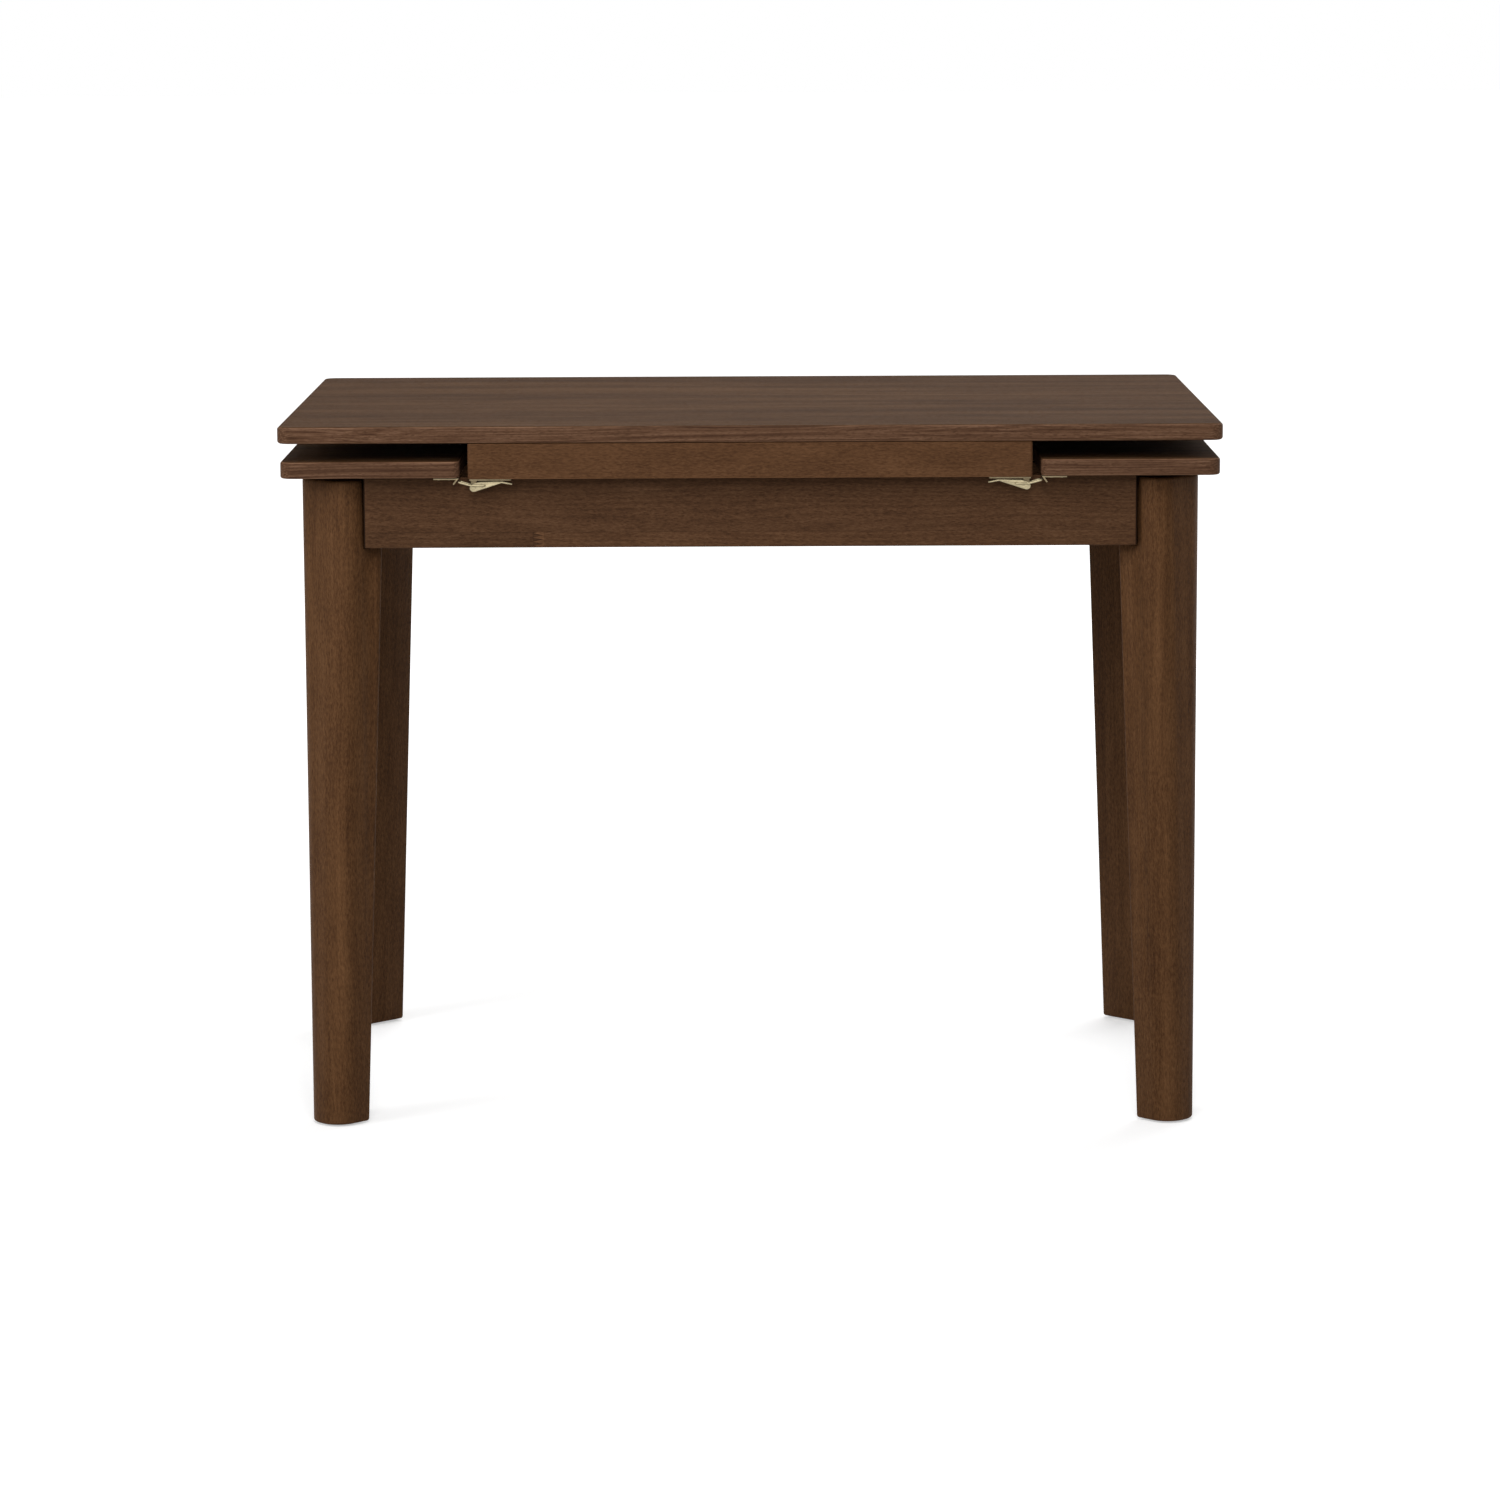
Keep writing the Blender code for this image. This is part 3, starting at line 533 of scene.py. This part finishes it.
def glued_strips(tree, here, across, level, seam, joint):
    """A board of three strips: coordinates of each strip's own wood, and a tone for its joints."""
    below = maths(tree, "LESS_THAN", level, seam)
    zigzag = maths(tree, "PINGPONG", level, FINGER_PITCH / 2)
    finger = maths(tree, "MULTIPLY", zigzag, 2 * FINGER_LENGTH / FINGER_PITCH)
    tooth = maths(tree, "ADD", finger, joint - FINGER_LENGTH / 2)
    beyond = maths(tree, "GREATER_THAN", across, tooth)
    strip = maths(tree, "MULTIPLY", below, maths(tree, "ADD", beyond, 1.0))
    near_joint = maths(tree, "COMPARE", across, joint, FINGER_LENGTH / 2)
    in_joint = maths(tree, "MULTIPLY", below, near_joint)
    base, contrast = FINGER_TONES
    fingers = maths(tree, "MULTIPLY_ADD", beyond, contrast, base)
    fingers = maths(tree, "MULTIPLY", in_joint, fingers)
    glue = maths(tree, "MULTIPLY", maths(tree, "COMPARE", level, seam, GLUE_LINE), GLUE_TONE)
    joints = maths(tree, "ADD", fingers, glue)
    last = maths(tree, "MULTIPLY", maths(tree, "GREATER_THAN", strip, 1.5), LAST_STRIP_TONE)
    lower = maths(tree, "GREATER_THAN", strip, 0.5)
    tone = maths(tree, "MULTIPLY_ADD", lower, LOWER_STRIP_TONE, last)
    tone = maths(tree, "ADD", maths(tree, "ADD", joints, tone), 1.0)
    other = lengths(tree, *[maths(tree, "MULTIPLY", strip, step) for step in STRIP_SHIFT])
    moved = tree.nodes.new("ShaderNodeVectorMath")
    tree.links.new(here, moved.inputs[0])
    tree.links.new(other, moved.inputs[1])
    return moved.outputs[0], tone


def rounded(low, high, radii):
    """A rectangle's outline with rounded corners; radii run from (low, low) round to (low, high)."""
    (x0, y0), (x1, y1) = low, high
    turns = [((x0, y0), (1, 1), 180), ((x1, y0), (-1, 1), 270),
             ((x1, y1), (-1, -1), 0), ((x0, y1), (1, -1), 90)]
    outline = []
    for ((x, y), (inward_x, inward_y), begin), radius in zip(turns, radii):
        if not radius:
            outline.append((x, y))
            continue
        for step in range(PLAN_STEPS + 1):
            angle = radians(begin + 90 * step / PLAN_STEPS)
            outline.append((x + radius * (inward_x + cos(angle)), y + radius * (inward_y + sin(angle))))
    return outline


def long_board(name, end, radius, width, look):
    """A front or back board with its two outer corners rounded in plan and its edges eased."""
    low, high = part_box(name)
    radii = (radius, radius, 0, 0) if end == "front" else (0, 0, radius, radius)
    board = prism(f"shaped_{name}", rounded(low.xy, high.xy, radii), low.z, high.z, look)
    ease(board, width)
    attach(board, "frame")
    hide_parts(name)


for number, end in enumerate(ENDS):
    name = f"apron_{end}"
    low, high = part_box(name)
    apron_wood = stained_wood(f"{name}_wood", "X", heart=(0.31 + number * 0.05, -0.66),
                              seed=5.1 + number, shades=APRON_SHADES, **APRON_FIGURE,
                              joint=(low.z + STRIP_HEIGHT, ENDS[end] * FINGER_PLACE),
                              ends=(0, high.x))
    long_board(name, end, APRON_ROUND, APRON_EASE, apron_wood)


def eased_copy(node, look, width):
    """A CAD piece's own shape with its edges eased, on the CAD piece's body."""
    mesh = frame["nodes"][node].data.copy()
    outward(mesh, flatten=True)
    piece = new_piece(f"eased_{node}", mesh, look)
    ease(piece, width, steps=2)
    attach(piece, frame["nodes"][node]["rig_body"])
    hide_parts(node)


for number, side in enumerate(SIDES):
    name = f"apron_{side}"
    apron_wood = stained_wood(f"{name}_wood", "Y", heart=(0.31 + number * 0.05, -0.66),
                              seed=7.1 + number, shades=APRON_SHADES, **APRON_FIGURE,
                              ends=(1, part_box(name)[1].y))
    eased_copy(name, apron_wood, SIDE_APRON_EASE)


# Corner braces, leg bolts and glides
# A hardwood block is set across each inner corner of the frame, and a steel bolt draws it and
# the leg together. A plastic glide is pinned under each foot.

DULLED = 0.62
DULL_FROM, DULL_TO = 0.35, 0.75
MARK_ROUGHNESS = 0.18
CLOUD_ROUGHNESS = 0.12


def plain_finish(name, colour, roughness, metallic, wear):
    """A metal or plastic with slow changes of shade and fine marks."""
    look = bpy.data.materials.new(name)
    look.use_nodes = True
    tree = look.node_tree
    shader = tree.nodes["Principled BSDF"]
    shader.inputs["Metallic"].default_value = metallic
    here = tree.nodes.new("ShaderNodeTexCoord").outputs["Object"]
    cloud = speckle(tree, here, along=160.0, across=160.0, detail=4.0, roughness=0.6)
    marks = speckle(tree, here, along=300.0, across=2600.0, detail=3.0)
    dull = (*[DULLED * c for c in colour], 1.0)
    tint_share = eased_step(tree, cloud, DULL_FROM, DULL_TO, 0.0, wear)
    tree.links.new(blended(tree, tint_share, (*colour, 1.0), dull), shader.inputs["Base Color"])
    matt = maths(tree, "MULTIPLY_ADD", marks, MARK_ROUGHNESS, roughness - MARK_ROUGHNESS / 2)
    matt = maths(tree, "MULTIPLY_ADD", cloud, CLOUD_ROUGHNESS, matt)
    tree.links.new(matt, shader.inputs["Roughness"])
    bumped(tree, shader, marks, strength=0.08, distance=0.0002)
    return look


bright_steel = plain_finish("bright_zinc_steel", (0.56, 0.56, 0.55),
                            roughness=0.36, metallic=1.0, wear=0.5)
glide_plastic = plain_finish("glide_plastic", (0.020, 0.019, 0.018),
                             roughness=0.55, metallic=0.0, wear=0.4)
FRAME_SHADES = ((0.055, 0.026, 0.012), (0.115, 0.060, 0.030), (0.165, 0.092, 0.050))
BRACE_EASE = 0.0010
brace_wood = stained_wood("brace_wood", "X", heart=(0.2, 0.4), seed=9.3, shades=FRAME_SHADES,
                          rough=0.7)
for end, side in CORNERS:
    eased_copy(f"corner_brace_{end}_{side}", brace_wood, BRACE_EASE)
    coat(frame["nodes"][f"leg_bolt_{end}_{side}"], bright_steel)
    coat(frame["nodes"][f"glide_{end}_{side}"], glide_plastic)


# Centre board
# A frame of two boards and two rails that stands on the aprons and carries the table top.
# The front and back boards show between the stowed leaves; all four pieces are glued
# and screwed from below.

BOARD_SHADES = ((0.0390, 0.0161, 0.0064), (0.0800, 0.0361, 0.0151), (0.1170, 0.0556, 0.0253))
BOARD_ROUND = 0.003
BOARD_EASE = 0.0013
RAIL_EASE = 0.0008
# the centre boards' paler edge is mostly a painted highlight along their level arrises
CENTRE_ARRIS = 0.5
for number, end in enumerate(ENDS):
    name = f"centre_board_{end}"
    board_wood = stained_wood(f"{name}_wood", "X", heart=(0.24, -0.52 + 0.1 * number),
                              seed=11.2 + number, shades=BOARD_SHADES, rings=0.05, lines=0.08,
                              dashes=0.9, arris=CENTRE_ARRIS)
    long_board(name, end, BOARD_ROUND, BOARD_EASE, board_wood)
rail_wood = stained_wood("centre_rail_wood", "Y", heart=(0.3, 0.2), seed=13.4, shades=FRAME_SHADES,
                         rough=0.7)
for side in SIDES:
    eased_copy(f"centre_rail_{side}", rail_wood, RAIL_EASE)


# Table top
# One board faced with walnut veneer, its grain along the length, with solid lippings on all
# four edges. The edges and corners are rounded over and lacquered satin.

TOP_SHADES = ((0.0272, 0.0118, 0.0048), (0.0580, 0.0280, 0.0118), (0.0917, 0.0472, 0.0223))
LIPPING_SHADES = ((0.0390, 0.0166, 0.0081), (0.0868, 0.0424, 0.0226), (0.1394, 0.0751, 0.0439))
TOP_CORNER = 0.014
TOP_EASE = 0.0032
TOP_ARRIS = 0.18
EDGE_FACING = 0.8
EDGE_STEPS = 5


def veneered(name, body, radii, heart, seed, width, arris):
    """A veneered board with lippings: one wood on the faces, and another along each edge."""
    low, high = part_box(name)
    face_wood = stained_wood(f"{name}_wood", "X", heart=heart, seed=seed, shades=TOP_SHADES,
                             rings=0.18, bands=1.0, lines=0.4, dashes=0.3, rough=0.68,
                             sheen=0.0200, arris=BOARD_ARRIS)
    board = prism(f"shaped_{name}", rounded(low.xy, high.xy, radii), low.z, high.z, face_wood)
    ease(board, width, steps=EDGE_STEPS)
    for grain in ("X", "Y"):
        lipping = stained_wood(f"{name}_lipping_{grain.lower()}", grain, heart=(0.2, 0.4),
                               seed=seed + 0.5, shades=LIPPING_SHADES, rings=0.05, lines=1.4,
                               dashes=0.3, fine=1.9, arris=arris)
        board.data.materials.append(lipping)
    for face in board.data.polygons:
        if abs(face.normal.z) < EDGE_FACING:
            face.material_index = 2 if abs(face.normal.x) > abs(face.normal.y) else 1
    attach(board, body)
    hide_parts(name)


veneered("table_top", "frame", (TOP_CORNER,) * 4, heart=(0.9, -0.5), seed=21.3,
         width=TOP_EASE, arris=TOP_ARRIS)


# Runner guides, runners and ties
# Two slotted boards cross the frame and hold the runners, two hardwood bearers under each leaf
# tied at their tails. They are cut from plain stock, sanded and waxed, not lacquered.

RUNNER_EASE = 0.0008
TIE_EASE = 0.0012
guide_wood = stained_wood("runner_guide_wood", "Y", heart=(0.25, 0.35), seed=15.1,
                          shades=FRAME_SHADES, rough=0.7)
runner_wood = stained_wood("runner_wood", "X", heart=(0.35, 0.55), seed=16.4,
                           shades=FRAME_SHADES, rough=0.65)
for side in SIDES:
    eased_copy(f"runner_guide_{side}", guide_wood, RUNNER_EASE)
    eased_copy(f"runner_tie_{side}", guide_wood, TIE_EASE)
    for end in ENDS:
        eased_copy(f"runner_{end}_{side}", runner_wood, RUNNER_EASE)


# Leaves and lift posts
# Two draw leaves, veneered and lipped as the top is, stowed between the top and the frame.
# Four steel posts under each slide in the runners and lift the drawn leaf level with the top.

LEAF_INNER_CORNER = 0.008
LEAF_EASE = 0.0025
LEAF_ARRIS = 0.34
for number, side in enumerate(SIDES):
    radii = (LEAF_INNER_CORNER, TOP_CORNER, TOP_CORNER, LEAF_INNER_CORNER)
    if side == "left":
        radii = (TOP_CORNER, LEAF_INNER_CORNER, LEAF_INNER_CORNER, TOP_CORNER)
    veneered(f"leaf_{side}", f"leaf_{side}", radii, heart=(0.8, -0.42 - 0.1 * number),
             seed=24.6 + 2 * number, width=LEAF_EASE, arris=LEAF_ARRIS)
    for end in ENDS:
        for label in ("inner", "outer"):
            coat(frame["nodes"][f"lift_post_{label}_{end}_{side}"], bright_steel)


# Latches
# Four toggle latches of yellow zinc-plated steel hold the stowed leaves to the centre board.
# Each has a screwed base with a riveted lever, a wire bail, and a hooked keeper screwed under
# the leaf.

SHEET_EASE = 0.00015
yellow_zinc = plain_finish("yellow_zinc", (0.37, 0.315, 0.20),
                           roughness=0.5, metallic=1.0, wear=0.5)
# A darker copy of the yellow zinc for the base plates and keepers: painted shade, as they sit in shadow
# under the boards.
shaded_zinc = plain_finish("shaded_yellow_zinc", (0.24, 0.19, 0.115),
                         roughness=0.5, metallic=1.0, wear=0.6)
for end, side in CORNERS:
    for part, look in (("base", shaded_zinc), ("lever", yellow_zinc), ("keeper", shaded_zinc)):
        eased_copy(f"latch_{part}_{end}_{side}", look, SHEET_EASE)

WIRE_RADIUS = 0.0010
WIRE_SIDES = 16
BEND_STEPS = 6
BAIL_TURNED_IN = 0.0012
BAIL_BEND = 0.52
SMOOTH_BELOW = 40
wire_tree, wire_in, wire_sockets = new_tree(
    "bent_wire", {"Wire Radius": WIRE_RADIUS, "Bend Radius": 0.0022}, source="Path")
route = tree_node(wire_tree, "GeometryNodeMeshToCurve", Mesh=wire_in["Path"])
bends = wire_tree.nodes.new("GeometryNodeFilletCurve")
bends.mode = "POLY"
feed(wire_tree, bends.inputs["Curve"], route.outputs[0])
feed(wire_tree, bends.inputs["Count"], BEND_STEPS)
feed(wire_tree, bends.inputs["Limit Radius"], True)
feed(wire_tree, bends.inputs["Radius"], wire_in["Bend Radius"])
round_bar = tree_node(wire_tree, "GeometryNodeCurvePrimitiveCircle", Resolution=WIRE_SIDES,
                      Radius=wire_in["Wire Radius"])
drawn = tree_node(wire_tree, "GeometryNodeCurveToMesh", Curve=bends.outputs[0],
                  Profile_Curve=round_bar.outputs[0], Fill_Caps=True)
end_tree(wire_tree, drawn.outputs[0], wire_in["Finish"])


def metal_piece(name, body, points, edges, tree, sockets, values, turns=()):
    """A piece of yellow zinc that a geometry tree grows from points and edges."""
    mesh = bpy.data.meshes.new(name)
    mesh.from_pydata(points, edges, [])
    if turns:
        stored = mesh.attributes.new("turn", "FLOAT_VECTOR", "POINT").data
        for place, turn in zip(stored, turns):
            place.vector = turn
    piece = grow(new_piece(name, mesh), tree, sockets, values, yellow_zinc)
    piece.data.shade_smooth()
    piece.data.set_sharp_from_angle(angle=radians(SMOOTH_BELOW))
    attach(piece, body)
    return piece


for end, side in CORNERS:
    name = f"latch_bail_{end}_{side}"
    low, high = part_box(name)
    near, far = sorted((low.x, high.x), key=abs)
    pivot = (near + SIDES[side] * WIRE_RADIUS, low.z + WIRE_RADIUS)
    bar = (far - SIDES[side] * WIRE_RADIUS, high.z - WIRE_RADIUS)
    bend = (pivot[0] + BAIL_BEND * (bar[0] - pivot[0]), pivot[1])
    first, last = low.y + WIRE_RADIUS, high.y - WIRE_RADIUS
    stops = [(pivot, first + BAIL_TURNED_IN), (pivot, first), (bend, first), (bar, first),
             (bar, last), (bend, last), (pivot, last), (pivot, last - BAIL_TURNED_IN)]
    path = [(x, y, z) for (x, z), y in stops]
    steps = [(step, step + 1) for step in range(len(path) - 1)]
    bail = metal_piece(f"wire_{name}", f"bail_{end}_{side}", path, steps, wire_tree, wire_sockets,
                       {"Wire Radius": WIRE_RADIUS})
    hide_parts(name)

DOME_SIDES, DOME_RINGS = 24, 12
SLOT_LENGTH, SLOT_WIDTH = 1.15, 0.26
head_tree, head_in, head_sockets = new_tree(
    "fastener_heads", {"Head Radius": 0.0021, "Head Height": 0.0011, "Recess Depth": 0.0007},
    source="Places")
head_radius, head_height = head_in["Head Radius"], head_in["Head Height"]
ball = tree_node(head_tree, "GeometryNodeMeshUVSphere", Segments=DOME_SIDES, Rings=DOME_RINGS,
                 Radius=1.0)
dome = tree_node(head_tree, "GeometryNodeTransform", Geometry=ball.outputs[0],
                 Scale=lengths(head_tree, head_radius, head_radius, head_height))
recessed = head_tree.nodes.new("GeometryNodeMeshBoolean")
recessed.operation = "DIFFERENCE"
recessed.solver = "EXACT"
feed(head_tree, recessed.inputs["Mesh 1"], dome.outputs[0])
slot_long = maths(head_tree, "MULTIPLY", head_radius, SLOT_LENGTH)
slot_wide = maths(head_tree, "MULTIPLY", head_radius, SLOT_WIDTH)
slot_tall = maths(head_tree, "MULTIPLY", head_in["Recess Depth"], 2.0)
for length, width in ((slot_long, slot_wide), (slot_wide, slot_long)):
    slot_cut = tree_node(head_tree, "GeometryNodeMeshCube",
                         Size=lengths(head_tree, length, width, slot_tall))
    raised = tree_node(head_tree, "GeometryNodeTransform", Geometry=slot_cut.outputs[0],
                       Translation=lengths(head_tree, 0.0, 0.0, head_height))
    head_tree.links.new(raised.outputs[0], recessed.inputs["Mesh 2"])
turn_of = head_tree.nodes.new("GeometryNodeInputNamedAttribute")
turn_of.data_type = "FLOAT_VECTOR"
turn_of.inputs["Name"].default_value = "turn"
as_rotation = tree_node(head_tree, "FunctionNodeEulerToRotation", Euler=turn_of.outputs[0])
spread = tree_node(head_tree, "GeometryNodeInstanceOnPoints", Points=head_in["Places"],
                   Instance=recessed.outputs[0], Rotation=as_rotation.outputs[0])
end_tree(head_tree, spread.outputs[0], head_in["Finish"])

PLATE_THICKNESS = 0.0015
BASE_SCREWS = (0.0165, 0.0285)
BASE_SCREW_TURN = 0.7
KEEPER_SCREWS = (0.0050, 0.0163)
KEEPER_SCREW_TURN = 0.9
PIN_FROM_END = 0.0043
PIN_FROM_BOTTOM = 0.0030
LEVER_WIDTH = 0.011
PIN_HEAD = {"Head Radius": 0.0022, "Head Height": 0.0004, "Recess Depth": 0.0}
base_places, pin_places, pin_turns = [], [], []
keeper_places = {side: [] for side in SIDES}
for end, side in CORNERS:
    low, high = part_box(f"latch_base_{end}_{side}")
    outer, middle = SIDES[side] * max(abs(low.x), abs(high.x)), (low.y + high.y) / 2
    for distance in BASE_SCREWS:
        base_places.append((outer - SIDES[side] * distance, middle, high.z - PLATE_THICKNESS))
    for facing in (-1, 1):
        pin_places.append((outer - SIDES[side] * PIN_FROM_END, middle + facing * LEVER_WIDTH / 2,
                           low.z + PIN_FROM_BOTTOM))
        pin_turns.append((-facing * pi / 2, 0.0, 0.0))
    low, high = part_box(f"latch_keeper_{end}_{side}")
    outer = SIDES[side] * max(abs(low.x), abs(high.x))
    for distance in KEEPER_SCREWS:
        place = (outer - SIDES[side] * distance, middle, high.z - PLATE_THICKNESS)
        keeper_places[side].append(place)


def face_down(places, turn):
    """Turns that point each screw's head down, its recess a little further round each time."""
    return [(pi, 0.0, turn * number) for number in range(len(places))]


metal_piece("latch_base_screws", "frame", base_places, [], head_tree, head_sockets, {},
            face_down(base_places, BASE_SCREW_TURN))
metal_piece("latch_pin_heads", "frame", pin_places, [], head_tree, head_sockets, PIN_HEAD, pin_turns)
for side, places in keeper_places.items():
    metal_piece(f"latch_keeper_screws_{side}", f"leaf_{side}", places, [], head_tree, head_sockets,
                {}, face_down(places, KEEPER_SCREW_TURN))


# Studio
# A pale floor that keeps the table's soft shadow and is clear from below, a white surround,
# five soft lamps and the photograph's camera. The floor and the surround read white to the camera
# and to reflections; the lamps light the wood at a plain level.

FLOOR_RADIUS = 40.0
FLOOR_SIDES = 96
FLOOR_SHADE = 0.66
FLOOR_ROUGHNESS = 0.9
GLOW_FROM, GLOW_TO = 0.6, 5.0
GLOW_NEAR, GLOW_FAR = 0.46, 0.88
SURROUND_LIGHT = 0.28


def to_eye(tree, rays):
    """One for what the camera sees, straight, in a reflection or through something clear."""
    seen = maths(tree, "MAXIMUM", rays["Is Camera Ray"], rays["Is Glossy Ray"])
    return maths(tree, "MAXIMUM", seen, rays["Is Transmission Ray"])


floor_mesh = bpy.data.meshes.new("studio_floor")
rim = []
for step in range(FLOOR_SIDES):
    angle = 2 * pi * step / FLOOR_SIDES
    rim.append((FLOOR_RADIUS * cos(angle), FLOOR_RADIUS * sin(angle), 0.0))
floor_mesh.from_pydata(rim, [], [tuple(range(FLOOR_SIDES))])
floor_paint = bpy.data.materials.new("studio_floor_paint")
floor_paint.use_nodes = True
paint = floor_paint.node_tree
paint_shader = paint.nodes["Principled BSDF"]
paint_shader.inputs["Base Color"].default_value = (FLOOR_SHADE, FLOOR_SHADE, FLOOR_SHADE, 1.0)
paint_shader.inputs["Roughness"].default_value = FLOOR_ROUGHNESS
paint_shader.inputs["Emission Color"].default_value = (1.0, 1.0, 1.0, 1.0)
rays = paint.nodes.new("ShaderNodeLightPath").outputs
distance = paint.nodes.new("ShaderNodeVectorMath")
distance.operation = "LENGTH"
paint.links.new(paint.nodes.new("ShaderNodeTexCoord").outputs["Object"], distance.inputs[0])
glow = eased_step(paint, distance.outputs["Value"], GLOW_FROM, GLOW_TO, GLOW_NEAR, GLOW_FAR)
paint.links.new(maths(paint, "MULTIPLY", to_eye(paint, rays), glow),
                paint_shader.inputs["Emission Strength"])
clear = paint.nodes.new("ShaderNodeBsdfTransparent")
one_sided = paint.nodes.new("ShaderNodeMixShader")
from_below = paint.nodes.new("ShaderNodeNewGeometry").outputs["Backfacing"]
feed(paint, one_sided.inputs[0], maths(paint, "MULTIPLY", from_below, rays["Is Camera Ray"]))
paint.links.new(paint_shader.outputs[0], one_sided.inputs[1])
paint.links.new(clear.outputs[0], one_sided.inputs[2])
paint.links.new(one_sided.outputs[0], paint.nodes["Material Output"].inputs["Surface"])
new_piece("studio_floor", floor_mesh, floor_paint)

world = bpy.data.worlds.new("studio_surround")
bpy.context.scene.world = world
world.use_nodes = True
surround = world.node_tree
sky = surround.nodes["Background"]
sky.inputs["Color"].default_value = (1.0, 1.0, 1.0, 1.0)
seen = to_eye(surround, surround.nodes.new("ShaderNodeLightPath").outputs)
surround.links.new(maths(surround, "MULTIPLY_ADD", seen, 1.0 - SURROUND_LIGHT, SURROUND_LIGHT),
                   sky.inputs["Strength"])

# each lamp's place, width and power in watts
LAMPS = {"key": ((0.0, -3.6, 4.6), 2.4, 114.0), "front": ((0.0, -5.2, 2.9), 1.6, 73.0),
         "side": ((-3.6, -2.6, 1.9), 1.8, 77.0), "back": ((0.5, 2.7, 4.3), 2.4, 90.0),
         "rear": ((2.6, 3.0, 1.9), 1.8, 38.0)}
AIM = Vector((0.0, 0.0, 0.45))
for name, (place, size, power) in LAMPS.items():
    lamp = bpy.data.lights.new(name, "AREA")
    lamp.shape = "DISK"
    lamp.size = size
    lamp.energy = power
    holder = bpy.data.objects.new(name, lamp)
    bpy.context.scene.collection.objects.link(holder)
    holder.location = place
    holder.rotation_euler = (AIM - Vector(place)).to_track_quat("-Z", "Y").to_euler()

PHOTO_WIDTH = 1500
FOCAL_PIXELS = 5315.93
CAMERA_PLACE = (0.006654, -5.918196, 1.261285)
CAMERA_TURN, CAMERA_DIP, CAMERA_ROLL = 0.001449, 0.150371, -0.004581
lens = bpy.data.cameras.new("camera")
lens.sensor_width = 36.0
lens.lens = FOCAL_PIXELS * lens.sensor_width / PHOTO_WIDTH
camera = bpy.data.objects.new("camera", lens)
bpy.context.scene.collection.objects.link(camera)
camera.matrix_world = (Matrix.Translation(CAMERA_PLACE) @ Matrix.Rotation(CAMERA_TURN, 4, "Z")
                       @ Matrix.Rotation(pi / 2 - CAMERA_DIP, 4, "X")
                       @ Matrix.Rotation(CAMERA_ROLL, 4, "Z"))
bpy.context.scene.camera = camera
bpy.context.scene.view_settings.view_transform = "Standard"
